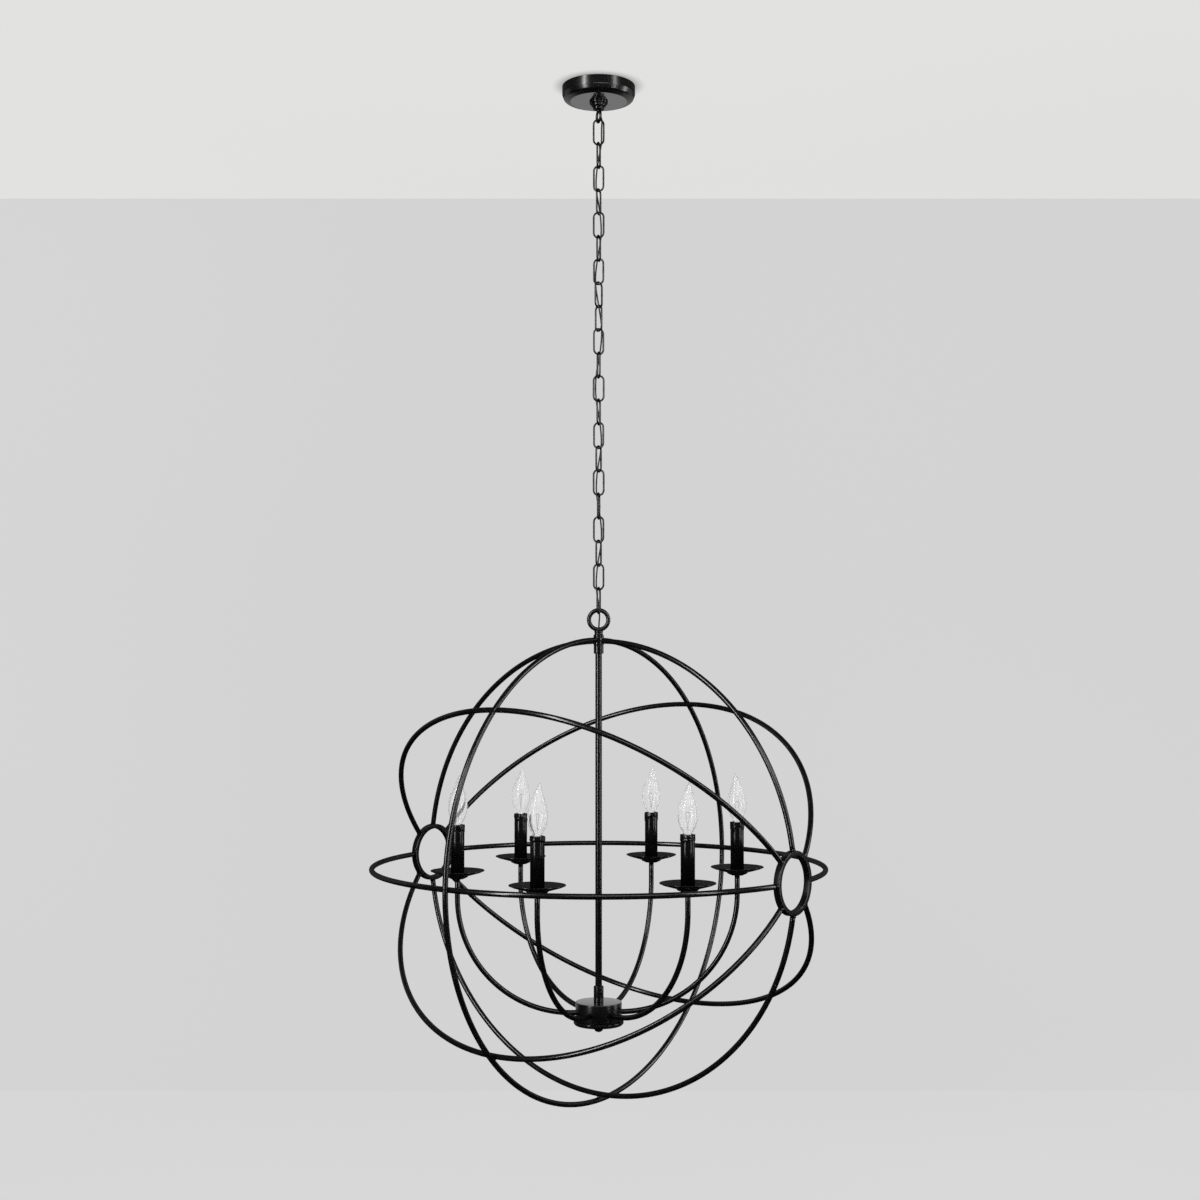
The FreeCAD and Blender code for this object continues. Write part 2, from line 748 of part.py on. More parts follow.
def make_pan_master():
    """A shallow dish with a stepped cup below and a hole for the arm."""
    rim, cup, foot = size("pan_diameter") / 2, size("pan_cup_diameter") / 2, size("pan_foot_diameter") / 2
    hole, thick = arm_hole / 2, size("pan_sheet")
    outline = [
        (hole, pan_foot),
        (foot, pan_foot),
        (cup - thick, pan_floor - size("pan_cup_depth") * size("pan_cup_share")),
        (cup, pan_floor),
        (rim, pan_rim - thick / 2),
        (rim, pan_rim + thick / 2),
        (cup + thick, sleeve_foot),
        (hole, sleeve_foot),
    ]
    return place(flat_sided("PanMaster", outline, PAN_SIDES), x=size("candle_circle"))


def make_holder_master():
    """The lampholder inside the sleeve, standing on the arm, with the socket for the bulb's cap."""
    bore = size("holder_bore")
    barrel_foot = socket_floor - bore / 2
    neck = prism(
        "HolderNeck", SMALL_SIDES, size("holder_neck_diameter"), barrel_foot - sleeve_foot, sleeve_foot
    )
    barrel = prism(
        "HolderBarrel", SMALL_SIDES, size("holder_diameter"), holder_top - barrel_foot, barrel_foot
    )
    socket = prism("HolderSocket", SMALL_SIDES, bore, holder_top - socket_floor, socket_floor)
    holder = cut("HolderShell", fuse("HolderBlank", [neck, barrel]), [socket])
    return place(group("HolderMaster", [holder]), x=size("candle_circle"))


def make_sleeve_master():
    """The candle sleeve, with the thicker band of its waxed top."""
    outer, inner = size("sleeve_diameter") / 2, size("sleeve_diameter") / 2 - size("sleeve_wall")
    band, band_foot = size("sleeve_collar_diameter") / 2, sleeve_top - size("sleeve_collar_length")
    outline = [
        (inner, sleeve_foot),
        (outer, sleeve_foot),
        (outer, band_foot),
        (band, band_foot + (band - outer) * 2),
        (band, sleeve_top),
        (inner, sleeve_top),
    ]
    return place(flat_sided("SleeveMaster", outline, SMALL_SIDES), x=size("candle_circle"))


# Each station up the glass: share of the height, share of the swell from neck or tip to the full
# width, and share of the tip's lean.
GLASS_STATIONS = [
    (0.0, 0.0, 0.0),
    (0.1, 0.4, 0.0),
    (0.22, 0.86, 0.0),
    (0.36, 1.0, 0.0),
    (0.52, 0.89, 0.03),
    (0.67, 0.58, 0.14),
    (0.83, 0.24, 0.42),
    (1.0, 0.0, 1.0),
]


def glass_skin(name, wall):
    """A closed flame shape of flat sides, drawn in everywhere by a wall and leaning at its tip."""
    neck, full = SIZES["bulb_neck_diameter"], SIZES["bulb_diameter"]
    tip = SIZES["bulb_glass_wall"] * 2 + SIZES["filament_wire"]
    foot, height = glass_foot.value + wall, SIZES["bulb_glass_length"] - wall * 3
    rings = []
    for level, swell, lean in GLASS_STATIONS:
        least = neck if level < 0.5 else tip
        reach = (least + (full - least) * swell) / 2 - wall
        rings.append(
            [
                FreeCAD.Vector(
                    SIZES["bulb_tip_lean"] * lean + reach * math.cos(2 * math.pi * side / SMALL_SIDES),
                    reach * math.sin(2 * math.pi * side / SMALL_SIDES),
                    foot + height * level,
                )
                for side in range(SMALL_SIDES)
            ]
        )
    loops = [rings[0], rings[-1]]
    for low, high in zip(rings, rings[1:]):
        for side in range(SMALL_SIDES):
            after = (side + 1) % SMALL_SIDES
            loops.append([low[side], low[after], high[after], high[side]])
    faces = [Part.Face(Part.makePolygon(loop + loop[:1])) for loop in loops]
    skin = doc.addObject("Part::Feature", name)
    skin.Shape = Part.makeSolid(Part.makeShell(faces))
    return skin


def make_filament():
    """A glass post on the neck's floor, two support wires and the filament between them."""
    half, wire = size("filament_span") / 2, size("filament_wire")
    post_foot = glass_foot + size("bulb_glass_wall")
    post_top = glass_foot + size("filament_post_height")
    top = glass_foot + size("filament_height")
    post = prism("FilamentPost", 6, size("filament_post_diameter"), post_top - post_foot, post_foot)
    left = prism("FilamentLeft", 4, wire, top - post_top, post_top, -(half * 0.4))
    right = prism("FilamentRight", 4, wire, top - post_top, post_top, half * 0.4)
    coil = prism("FilamentCoil", 4, wire * 1.5, half * 2, top, -half, 90, Y_AXIS)
    return fuse("FilamentMount", [post, left, right, coil])


def make_bulb_master():
    """A clear flame-shaped bulb with its screw cap and filament."""
    inner = glass_skin("BulbInner", SIZES["bulb_glass_wall"])
    glass = cut("BulbGlass", glass_skin("BulbOuter", 0), [inner])
    cap_length = size("bulb_cap_length")
    cap = prism("BulbCap", SMALL_SIDES, size("bulb_cap_diameter"), cap_length, glass_foot - cap_length)
    return place(group("BulbMaster", [glass, cap, make_filament()]), x=size("candle_circle"))


def arm_turns():
    """The turn of every arm from the first."""
    return [as_size(360) / size("arm_count") * number for number in range(int(SIZES["arm_count"]))]


def make_candles():
    """Arms, nuts, pans, holders, sleeves and bulbs, all at the same steps round the hub."""
    arm, nut, pan = make_arm_master(), make_arm_nut_master(), make_pan_master()
    holder, sleeve, bulb = make_holder_master(), make_sleeve_master(), make_bulb_master()
    nodes = []
    masters = {"arm_nuts": nut, "drip_pans": pan, "lampholders": holder, "candle_sleeves": sleeve}
    copies = {name: [] for name in masters}
    for number, from_first in enumerate(arm_turns(), start=1):
        turn = size("arm_turn") + from_first
        nodes.append(turned_copy(f"arm_{number}", arm, 0, turn))
        nodes.append(turned_copy(f"bulb_{number}", bulb, 0, turn))
        for name, master in masters.items():
            copies[name].append(turned_copy(f"{name}_{number}", master, 0, turn))
    nodes.extend(group(name, pieces) for name, pieces in copies.items())
    return nodes


# ---- supply cord -----------------------------------------------------------------------------------


def cord_points():
    """The cord's route: down the nipple, round the chain through every link, and into the boss."""
    cord, link = SIZES["cord_diameter"], SIZES["link_wire"]
    wires = [SIZES["canopy_ring_wire"]] + [link] * len(LINK_TURNS) + [SIZES["orb_ring_wire"]]
    turns = [CANOPY_RING_TURN] + LINK_TURNS + [0]
    reaches = [(wire + cord) / 2 + SIZES["cord_gap"] for wire in wires]
    crossings = []
    for number in range(len(turns) - 1):
        above, below = reaches[number], reaches[number + 1]
        step = math.radians((turns[number + 1] - turns[number]) % 180)
        lead = math.atan2(above * math.sin(step), below + above * math.cos(step))
        out = above / math.sin(lead) + SIZES["cord_ease"]
        turned = sum((b - a) % 180 for a, b in zip(turns[:number], turns[1:]))
        bearing = math.radians(turns[0] + turned) + lead
        height = first_link_top.value - link_step.value * number
        crossings.append(FreeCAD.Vector(out * math.cos(bearing), out * math.sin(bearing), height))
    middle = (crossings[0] + crossings[1]) / 2
    inward = FreeCAD.Vector(middle.x, middle.y, 0).normalize() * SIZES["cord_ease"]
    way_in = canopy_ring_centre.value + canopy_ring_reach.value - SIZES["canopy_ring_wire"] / 2 - cord / 2
    way_out = orb_ring_centre.value - orb_ring_reach.value + SIZES["orb_ring_wire"] / 2 - cord / 2
    end = FreeCAD.Vector(0, 0, SIZES["cord_end_length"])
    top, foot = FreeCAD.Vector(0, 0, way_in), FreeCAD.Vector(0, 0, way_out)
    return [top + end, top, crossings[0], middle - inward] + crossings[1:] + [foot, foot - end]


def rounded_path(points, share=0.45):
    """Straight runs joined by arcs tangent to them."""
    edges, radii = [], []
    start = points[0]
    for before, corner, after in zip(points, points[1:], points[2:]):
        back, ahead = (before - corner), (after - corner)
        reach = min(back.Length, ahead.Length) * share
        back.normalize()
        ahead.normalize()
        half_turn = (math.pi - back.getAngle(ahead)) / 2
        bulge = back + ahead
        bulge.normalize()
        radius = reach / math.tan(half_turn)
        first, last = corner + back * reach, corner + ahead * reach
        middle = corner + bulge * (radius / math.cos(half_turn) - radius)
        radii.append(radius)
        edges.append(Part.LineSegment(start, first).toShape())
        edges.append(Part.Arc(first, middle, last).toShape())
        start = last
    edges.append(Part.LineSegment(start, points[-1]).toShape())
    print("cord radii, least and mean:", round(min(radii), 1), round(sum(radii) / len(radii), 1))
    return Part.Wire(edges)


def make_supply_cord():
    """The lead down the chain, as one tube along its route."""
    points = cord_points()
    path = rounded_path(points)
    corners = [
        points[0] + FreeCAD.Vector(x.value, y.value, 0)
        for x, y in tube_corners((as_size(0), as_size(0)), size("cord_diameter"))
    ]
    section = Part.makePolygon(corners + corners[:1])
    cord = doc.addObject("Part::Feature", "supply_cord")
    cord.Label = "supply_cord"
    cord.Shape = path.makePipeShell([section], True, False)
    area = math.pi * size("cord_diameter").value ** 2 / 4
    print("cord volume over section times length:", round(cord.Shape.Volume / (area * path.Length), 4))
    return cord


# ---- assembly --------------------------------------------------------------------------------------

nodes = [
    make_mounting_strap(),
    make_canopy(),
    make_locknut(),
    make_ground_screw(),
    make_nipple(),
    make_collar_nut(),
    make_canopy_loop(),
    make_orb_loop(),
    make_top_hub(),
    make_stem_couplers(),
    make_stem(),
    make_hub_cover(),
    make_hub_base(),
    make_centre_rod(),
    make_finial(),
    make_supply_cord(),
]
nodes.extend(make_chain())
nodes.extend(make_hoops())
nodes.extend(make_side_rings())
nodes.extend(make_candles())
doc.recompute()

failed = [item.Label for item in doc.Objects if {"Invalid", "Error"} & set(item.State)]
if failed:
    raise RuntimeError("failed objects: " + ", ".join(failed))
for node in nodes:
    if node.Shape.isNull() or not node.Shape.isValid() or not node.Shape.Solids:
        raise RuntimeError("bad shape: " + node.Label)

os.makedirs("parts", exist_ok=True)
for node in nodes:
    node.Shape.exportStep(f"parts/{node.Label}.step")
print(len(nodes), "nodes,", sum(len(node.Shape.Solids) for node in nodes), "solids")
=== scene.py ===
"""Looks of the orb chandelier: smooth metal, waxed sleeves, clear bulbs and the cord in its chain.

Metres in the frame of the CAD model. MM turns the drawing's millimetres into metres.
"""
import math

import bpy
from mathutils import Matrix, Quaternion, Vector, noise


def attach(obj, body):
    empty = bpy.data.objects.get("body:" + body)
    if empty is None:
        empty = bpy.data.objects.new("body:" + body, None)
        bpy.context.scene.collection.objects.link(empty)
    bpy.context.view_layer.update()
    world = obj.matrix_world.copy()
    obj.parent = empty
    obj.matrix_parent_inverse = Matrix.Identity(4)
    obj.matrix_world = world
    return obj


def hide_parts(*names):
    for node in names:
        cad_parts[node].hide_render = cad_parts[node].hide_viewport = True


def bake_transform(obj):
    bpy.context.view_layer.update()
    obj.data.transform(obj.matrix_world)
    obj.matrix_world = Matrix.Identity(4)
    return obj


MM = 0.001
TURN = 2 * math.pi

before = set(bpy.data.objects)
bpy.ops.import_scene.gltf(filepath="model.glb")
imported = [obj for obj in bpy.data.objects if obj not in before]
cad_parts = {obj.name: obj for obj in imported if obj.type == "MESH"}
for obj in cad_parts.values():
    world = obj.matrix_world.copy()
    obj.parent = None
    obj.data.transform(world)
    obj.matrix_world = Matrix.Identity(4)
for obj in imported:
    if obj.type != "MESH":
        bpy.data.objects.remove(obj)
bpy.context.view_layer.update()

# ---- driving sizes, in millimetres ------------------------------------------------------------------

CANOPY_DIAMETER, CANOPY_SHOULDER, CANOPY_SHEET = 125.0, 13.0, 1.2
CANOPY_DEPTH, CANOPY_DISC, NIPPLE_HOLE = 26.5, 97.0, 10.0
CANOPY_WALL_SHARE, CANOPY_RIM_IN, CANOPY_RIM_RISE = 0.9, 3.2, 3.6
COLLAR_STEPS = ((31.5, 3.8), (25.0, 4.4), (19.0, 6.0))
CANOPY_RING, CANOPY_RING_WIRE, CANOPY_RING_SINK = 24.6, 4.4, 1.6
LINK_WIRE, LINK_INNER_LENGTH, LINK_OUTER_WIDTH, CHAIN_GAP = 3.2, 40.5, 20.4, 0.3
LINK_TURNS = [
    0, 74, -18, 68, -10, 72, -22, 50, -54, 22, -76, 0, 74, -24, 62, -4, 80, -20, 62, -18, 74,
]
CANOPY_RING_TURN = -72
LINK_SEAM, LINK_SEAM_SWELL = 2.6, 0.12
CORD_DIAMETER, CORD_GAP, CORD_EASE, CORD_END_LENGTH = 2.6, 0.4, 1.2, 12.0
CORD_BEND, CORD_SPACING = 12.0, 0.3
ORB_RING, ORB_RING_WIRE = 40.0, 7.2
RING_BOSS, RING_BOSS_HEIGHT, RING_NECK = 17.6, 8.8, 14.0
TOP_HUB, TOP_HUB_HEIGHT = 17.8, 14.0
COUPLER, TOP_COUPLER_LENGTH, LOW_COUPLER_LENGTH, STEM = 15.8, 14.4, 26.0, 10.4
HOOP_RADIUS, HOOP_TUBE, HOOP_TURN = 379.5, 8.0, math.radians(-36.7)
CROSS_RADIUS, CROSS_DROP = 385.5, 4.0
SIDE_RING, SIDE_RING_BORE, SIDE_RING_WIDTH = 101.0, 85.0, 11.0
HUB_DEPTH, HUB_DIAMETER, HUB_HEIGHT, HUB_SHEET = 226.0, 77.8, 31.5, 1.5
BASE_DIAMETER, BASE_HEIGHT, BASE_CHAMFER = 84.0, 6.5, 2.5
FINIAL, FINIAL_HEIGHT = 16.8, 12.8
ARM_COUNT, ARM_TURN, ARM_TUBE = 6, math.radians(6.3), 8.0
ARM_BELOW_TOP, ARM_BEND, ARM_INSIDE = 17.5, 195.0, 6.0
CANDLE_CIRCLE, PAN_RIM_DEPTH = 237.0, 4.0
PAN_DIAMETER, PAN_SHEET, PAN_DISH_DEPTH = 90.0, 1.2, 9.0
PAN_CUP, PAN_CUP_DEPTH, PAN_FOOT, PAN_CUP_SHARE = 36.0, 5.0, 20.0, 0.4
SLEEVE, SLEEVE_WALL, SLEEVE_LENGTH, SLEEVE_BAND = 22.0, 1.2, 84.0, 23.6
WAX_REACH, WAX_RUN, WAX_RUN_WAVE, WAX_DRIP, WAX_DRIP_FROM = 27.0, 8.5, 4.0, 16.0, 0.12
WAX_SWELL, WAX_SWELL_WAVE, WAX_LUMP, WAX_LIP_DROP, WAX_LIP_WAVE = 1.3, 1.1, 0.5, 0.5, 0.45
HOLDER, HOLDER_BORE, HOLDER_NECK, HOLDER_SINK = 17.0, 12.6, 12.0, 3.0
BULB_LENGTH, BULB_LEAN = 84.0, 3.6
BULB_CAP, BULB_CAP_LENGTH, BULB_SINK, GLASS_WALL = 12.0, 20.0, 1.5, 0.7
THREADS, THREAD_PITCH, THREAD_DEPTH, THREAD_INSET, THREAD_FOOT = 5, 2.6, 0.4, 0.45, 3.5
CAP_SHELL_FOOT, CAP_SHELL_TRIM = 3.0, 3.4
FILAMENT_HEIGHT, FILAMENT_SPAN, POST_HEIGHT = 34.0, 9.0, 15.0
SUPPORT_WIRE, COIL_WIRE, COIL_REACH, COIL_BOW, COIL_TURNS = 0.55, 0.2, 0.42, 2.2, 22
WELD_ROUGHNESS, WELD_GRAIN = 0.28, 1.9
BOSS_WELD, HOOP_WELD, RING_WELD, RING_WELD_COUNT = 3.6, 2.9, 4.3, 8
# Painted tubes are drawn this much thicker than the bare metal of the CAD model.
PAINT_FULLNESS = 0.8

# ---- heights, in millimetres ------------------------------------------------------------------------

canopy_floor = -CANOPY_DEPTH
boss_foot = canopy_floor - sum(height for _, height in COLLAR_STEPS)
canopy_ring_reach = (CANOPY_RING - CANOPY_RING_WIRE) / 2
canopy_ring_centre = boss_foot - CANOPY_RING / 2 + CANOPY_RING_SINK
link_length = LINK_INNER_LENGTH + LINK_WIRE
link_step = LINK_INNER_LENGTH - CHAIN_GAP
first_link_top = (
    canopy_ring_centre - canopy_ring_reach + (CANOPY_RING_WIRE + LINK_WIRE) / 2 + CHAIN_GAP
)
last_link_foot = first_link_top - link_step * (len(LINK_TURNS) - 1) - link_length
orb_ring_reach = (ORB_RING - ORB_RING_WIRE) / 2
orb_ring_centre = last_link_foot + (ORB_RING_WIRE + LINK_WIRE) / 2 + CHAIN_GAP - orb_ring_reach
top_hub_top = orb_ring_centre - ORB_RING / 2 - RING_BOSS_HEIGHT
top_hub_foot = top_hub_top - TOP_HUB_HEIGHT
orb_centre = top_hub_top - TOP_HUB_HEIGHT / 2 - HOOP_RADIUS
hub_top = orb_centre - HUB_DEPTH
hub_foot = hub_top - HUB_HEIGHT
base_foot = hub_foot - BASE_HEIGHT
finial_foot = base_foot - FINIAL_HEIGHT
arm_height = hub_top - ARM_BELOW_TOP
pan_floor = orb_centre - PAN_RIM_DEPTH - PAN_DISH_DEPTH
sleeve_foot = pan_floor + PAN_SHEET
sleeve_top = sleeve_foot + SLEEVE_LENGTH
glass_foot = sleeve_top - BULB_SINK
side_ring_reach = math.sqrt(HOOP_RADIUS**2 - SIDE_RING**2 / 4)

CAMERA_PLACE = (2.3, -2844.5, orb_centre + 332.75)
CAMERA_PITCH = math.radians(2.34)
CAMERA_LENS, CAMERA_FILM = 50.36, 36.0
WALL_DEPTH, WALL_HALF_WIDTH, WALL_LEAN = 690.0, 6000.0, 2100.0
FLOOR_HEIGHT, CEILING_GAP = -2400.0, 0.6
WALL_COLOUR, CEILING_COLOUR, FLOOR_COLOUR = (0.68, 0.68, 0.68), (0.78, 0.78, 0.765), (0.7, 0.7, 0.7)
# The share of its own brightness that each surface shows in shiny paint.
WALL_MIRRORED, CEILING_MIRRORED, FLOOR_MIRRORED = 0.7, 0.16, 0.02
ROOM_DIMNESS = 0.07
# Each light's name, its place, width and height in metres, and its power in watts.
LIGHTS = (
    ("left_box", (-2.05, -2.05, -0.25), 0.32, 3.1, 85),
    ("right_box", (2.3, -1.8, -0.25), 0.4, 3.1, 42),
    ("rim_box", (2.8, 0.1, -0.8), 0.5, 2.2, 30),
    ("top_box", (0.3, -1.8, -0.15), 1.6, 0.5, 12),
)
# Anything smaller is taken as nothing.
TINY = 1e-6
# The most that a rounded corner takes of the lines beside it.
CORNER_SHARE = 0.48

# ---- materials --------------------------------------------------------------------------------------

MOTTLE_SCALE, MOTTLE_LOW, MOTTLE_HIGH = 38.0, 0.35, 0.7
GLOSS_SCALE, GLOSS_DETAIL, GRAIN_DETAIL = 90.0, 4.0, 2.0
PAINT_DARK, PAINT_PALE = (0.0015, 0.0015, 0.0016), (0.0035, 0.0035, 0.0037)
PAINT_GRAIN, PAINT_GRAIN_DEPTH = 260.0, 0.000001
PLATE_SHINE, PLATE_SLOPE, PLATE_LEVEL = 0.45, 0.98, 0.999
GLASS_BLUR, GLASS_BEND, GLASS_WAVE, GLASS_WAVE_DEPTH = 0.07, 1.25, 40.0, 0.000008
GLASS_COLOUR, HAZE_COLOUR, GLASS_HAZE, GLASS_HAZE_SCALE = (0.99, 0.99, 0.99), (0.95, 0.95, 0.95), 0.07, 30.0
ROOM_SHADE, ROOM_SHADE_SCALE, ROOM_SHADE_LOW, ROOM_SHADE_HIGH = 0.95, 0.35, 0.3, 0.8
# The painted shade on the ceiling where the canopy touches it, in metres.
CONTACT_DEPTH, CONTACT_FULL, CONTACT_END = 0.02, 0.15, 0.3


class Nodes:
    """A material's node tree with short calls to add and join nodes."""

    def __init__(self, name):
        self.material = bpy.data.materials.new(name)
        self.material.use_nodes = True
        self.tree = self.material.node_tree
        self.tree.nodes.clear()
        self.output = self.add("ShaderNodeOutputMaterial")

    def add(self, kind, **inputs):
        node = self.tree.nodes.new(kind)
        for key, value in inputs.items():
            if key in node.inputs:
                node.inputs[key].default_value = value
            else:
                setattr(node, key, value)
        return node

    def join(self, out, socket):
        self.tree.links.new(out, socket)

    def noise(self, scale, detail=3.0):
        place = self.add("ShaderNodeTexCoord")
        cloud = self.add("ShaderNodeTexNoise", Scale=scale, Detail=detail)
        self.join(place.outputs["Object"], cloud.inputs["Vector"])
        return cloud.outputs["Fac"]

    def ramp(self, factor, low, high, dark, pale):
        ramp = self.add("ShaderNodeValToRGB")
        for element, place, colour in zip(ramp.color_ramp.elements, (low, high), (dark, pale)):
            element.position = place
            element.color = (*colour, 1)
        self.join(factor, ramp.inputs["Fac"])
        return ramp.outputs["Color"]

    def range(self, factor, low, high, start=0.0, stop=1.0):
        scaled = self.add("ShaderNodeMapRange")
        scaled.inputs["From Min"].default_value = start
        scaled.inputs["From Max"].default_value = stop
        scaled.inputs["To Min"].default_value = low
        scaled.inputs["To Max"].default_value = high
        self.join(factor, scaled.inputs["Value"])
        return scaled.outputs["Result"]

    def bump(self, factor, depth):
        bump = self.add("ShaderNodeBump", Strength=1.0, Distance=depth)
        self.join(factor, bump.inputs["Height"])
        return bump.outputs["Normal"]

    def either(self, first, second):
        """The greater of two values that are each 0 or 1."""
        most = self.add("ShaderNodeMath", operation="MAXIMUM")
        self.join(first, most.inputs[0])
        self.join(second, most.inputs[1])
        return most.outputs["Value"]

    def plain(self, kind, colour, **inputs):
        """A shader of one colour."""
        return self.add(kind, Color=(*colour, 1), **inputs)

    def mix(self, share, first, second):
        """Two shaders, the second by its share, which is a number or a socket."""
        mix = self.add("ShaderNodeMixShader")
        if isinstance(share, float):
            mix.inputs["Fac"].default_value = share
        else:
            self.join(share, mix.inputs["Fac"])
        self.join(first, mix.inputs[1])
        self.join(second, mix.inputs[2])
        return mix.outputs["Shader"]

    def skin(self, dark, pale, smooth, rough, grain, depth):
        """A mottled colour, an uneven gloss and a fine grain."""
        colour = self.ramp(self.noise(MOTTLE_SCALE), MOTTLE_LOW, MOTTLE_HIGH, dark, pale)
        gloss = self.range(self.noise(GLOSS_SCALE, GLOSS_DETAIL), smooth, rough)
        return colour, gloss, self.bump(self.noise(grain, GRAIN_DETAIL), depth)

    def surface(self, metal=0.0, **skin):
        """A principled shader with a skin."""
        surface = self.add("ShaderNodeBsdfPrincipled", Metallic=metal)
        for out, key in zip(self.skin(**skin), ("Base Color", "Roughness", "Normal")):
            self.join(out, surface.inputs[key])
        return surface

    def finish(self, shader):
        self.join(shader, self.output.inputs["Surface"])
        return self.material


def coated_metal(name, gloss=0.5, **look):
    """Paint, plastic or plated metal."""
    nodes = Nodes(name)
    surface = nodes.surface(**look)
    surface.inputs["Specular IOR Level"].default_value = gloss
    return nodes.finish(surface.outputs["BSDF"])


def dark_gloss(name, share, **skin):
    """Black paint whose shine is an even share of the light, so thin tubes stay dark at their edges."""
    nodes = Nodes(name)
    colour, gloss, grain = nodes.skin(**skin)
    paint, shine = nodes.add("ShaderNodeBsdfDiffuse"), nodes.add("ShaderNodeBsdfGlossy")
    nodes.join(colour, paint.inputs["Color"])
    nodes.join(gloss, shine.inputs["Roughness"])
    nodes.join(grain, paint.inputs["Normal"])
    nodes.join(grain, shine.inputs["Normal"])
    return nodes.finish(nodes.mix(share, paint.outputs["BSDF"], shine.outputs["BSDF"]))


def plate_paint(**skin):
    """Black paint that reflects the room on faces that lie level, as they are seen at a low angle."""
    nodes = Nodes("plate_paint")
    paint = nodes.surface(**skin)
    place, parts = nodes.add("ShaderNodeTexCoord"), nodes.add("ShaderNodeSeparateXYZ")
    nodes.join(place.outputs["Normal"], parts.inputs["Vector"])
    slope = nodes.add("ShaderNodeMath", operation="ABSOLUTE")
    nodes.join(parts.outputs["Z"], slope.inputs[0])
    for key, least in (("Coat Weight", 0.0), ("Specular IOR Level", PLATE_SHINE)):
        shine = nodes.range(slope.outputs["Value"], least, 1.0, PLATE_SLOPE, PLATE_LEVEL)
        nodes.join(shine, paint.inputs[key])
    return nodes.finish(paint.outputs["BSDF"])


def clear_glass():
    """Clear glass with a faint haze, which lets light through to what it shades."""
    nodes = Nodes("clear_glass")
    glass = nodes.plain("ShaderNodeBsdfGlass", GLASS_COLOUR, Roughness=GLASS_BLUR, IOR=GLASS_BEND)
    nodes.join(nodes.bump(nodes.noise(GLASS_WAVE, 1.0), GLASS_WAVE_DEPTH), glass.inputs["Normal"])
    haze = nodes.plain("ShaderNodeBsdfDiffuse", HAZE_COLOUR)
    fog = nodes.range(nodes.noise(GLASS_HAZE_SCALE, 2.0), 0.0, GLASS_HAZE)
    hazed = nodes.mix(fog, glass.outputs["BSDF"], haze.outputs["BSDF"])
    light, clear = nodes.add("ShaderNodeLightPath"), nodes.add("ShaderNodeBsdfTransparent")
    passed = nodes.either(light.outputs["Is Shadow Ray"], light.outputs["Is Diffuse Ray"])
    return nodes.finish(nodes.mix(passed, hazed, clear.outputs["BSDF"]))


def room_surface(name, colour, mirrored):
    """A matt surface seen only from its front. The camera sees its own colour, and paint a share of it."""
    nodes = Nodes(name)
    matt = nodes.plain("ShaderNodeBsdfDiffuse", colour)
    shaded = tuple(part * ROOM_SHADE for part in colour)
    cloud = nodes.noise(ROOM_SHADE_SCALE, 1.0)
    shade = nodes.ramp(cloud, ROOM_SHADE_LOW, ROOM_SHADE_HIGH, shaded, colour)
    light, plain = nodes.add("ShaderNodeLightPath"), nodes.add("ShaderNodeEmission")
    seen = nodes.either(light.outputs["Is Camera Ray"], light.outputs["Is Transmission Ray"])
    # The colour the camera sees carries a painted shade where the canopy touches the ceiling.
    nodes.join(contact_shade(nodes, shade), plain.inputs["Color"])
    nodes.join(nodes.range(seen, mirrored, 1.0), plain.inputs["Strength"])
    share = nodes.either(seen, light.outputs["Is Glossy Ray"])
    front = nodes.mix(share, matt.outputs["BSDF"], plain.outputs["Emission"])
    side, clear = nodes.add("ShaderNodeNewGeometry"), nodes.add("ShaderNodeBsdfTransparent")
    return nodes.finish(nodes.mix(side.outputs["Backfacing"], front, clear.outputs["BSDF"]))


def contact_shade(nodes, colour):
    """The colour, darkened by a painted shade where the canopy touches it."""
    place = nodes.add("ShaderNodeTexCoord")
    reach = nodes.add("ShaderNodeVectorMath", operation="LENGTH")
    nodes.join(place.outputs["Object"], reach.inputs[0])
    near = nodes.range(reach.outputs["Value"], 0.0, 1.0, CONTACT_END, CONTACT_FULL)
    # Ambient occlusion darkens the colour: a painted shadow round the canopy.
    corner = nodes.add("ShaderNodeAmbientOcclusion", Distance=CONTACT_DEPTH)
    nodes.join(colour, corner.inputs["Color"])
    mix = nodes.add("ShaderNodeMix", data_type="RGBA")
    nodes.join(near, mix.inputs["Factor"])
    # Sockets 6 and 7 are the two colours, and output 2 the mixed colour.
    nodes.join(colour, mix.inputs[6])
    nodes.join(corner.outputs["Color"], mix.inputs[7])
    return mix.outputs[2]


PAINT = {"dark": PAINT_DARK, "pale": PAINT_PALE, "grain": PAINT_GRAIN, "depth": PAINT_GRAIN_DEPTH}
BLACK = dark_gloss("black_paint", share=0.045, smooth=0.16, rough=0.24, **PAINT)
PLATE_BLACK = plate_paint(smooth=0.2, rough=0.28, **PAINT)
SLEEVE_BLACK = dark_gloss(
    "black_sleeve",
    share=0.035,
    dark=(0.0012, 0.0012, 0.0012),
    pale=(0.003, 0.003, 0.003),
    smooth=0.16,
    rough=0.28,
    grain=180.0,
    depth=0.00002,
)
STEEL = coated_metal(
    "zinc_steel",
    metal=1.0,
    dark=(0.42, 0.42, 0.41),
    pale=(0.6, 0.6, 0.57),
    smooth=0.3,
    rough=0.5,
    grain=1200.0,
    depth=0.00001,
)
GREEN = coated_metal(
    "green_screw",
    metal=0.6,
    dark=(0.02, 0.13, 0.04),
    pale=(0.03, 0.2, 0.06),
    smooth=0.3,
    rough=0.45,
    grain=900.0,
    depth=0.00001,
)
BRASS = coated_metal(
    "brass",
    metal=1.0,
    dark=(0.55, 0.36, 0.13),
    pale=(0.72, 0.5, 0.22),
    smooth=0.22,
    rough=0.42,
    grain=800.0,
    depth=0.00001,
)
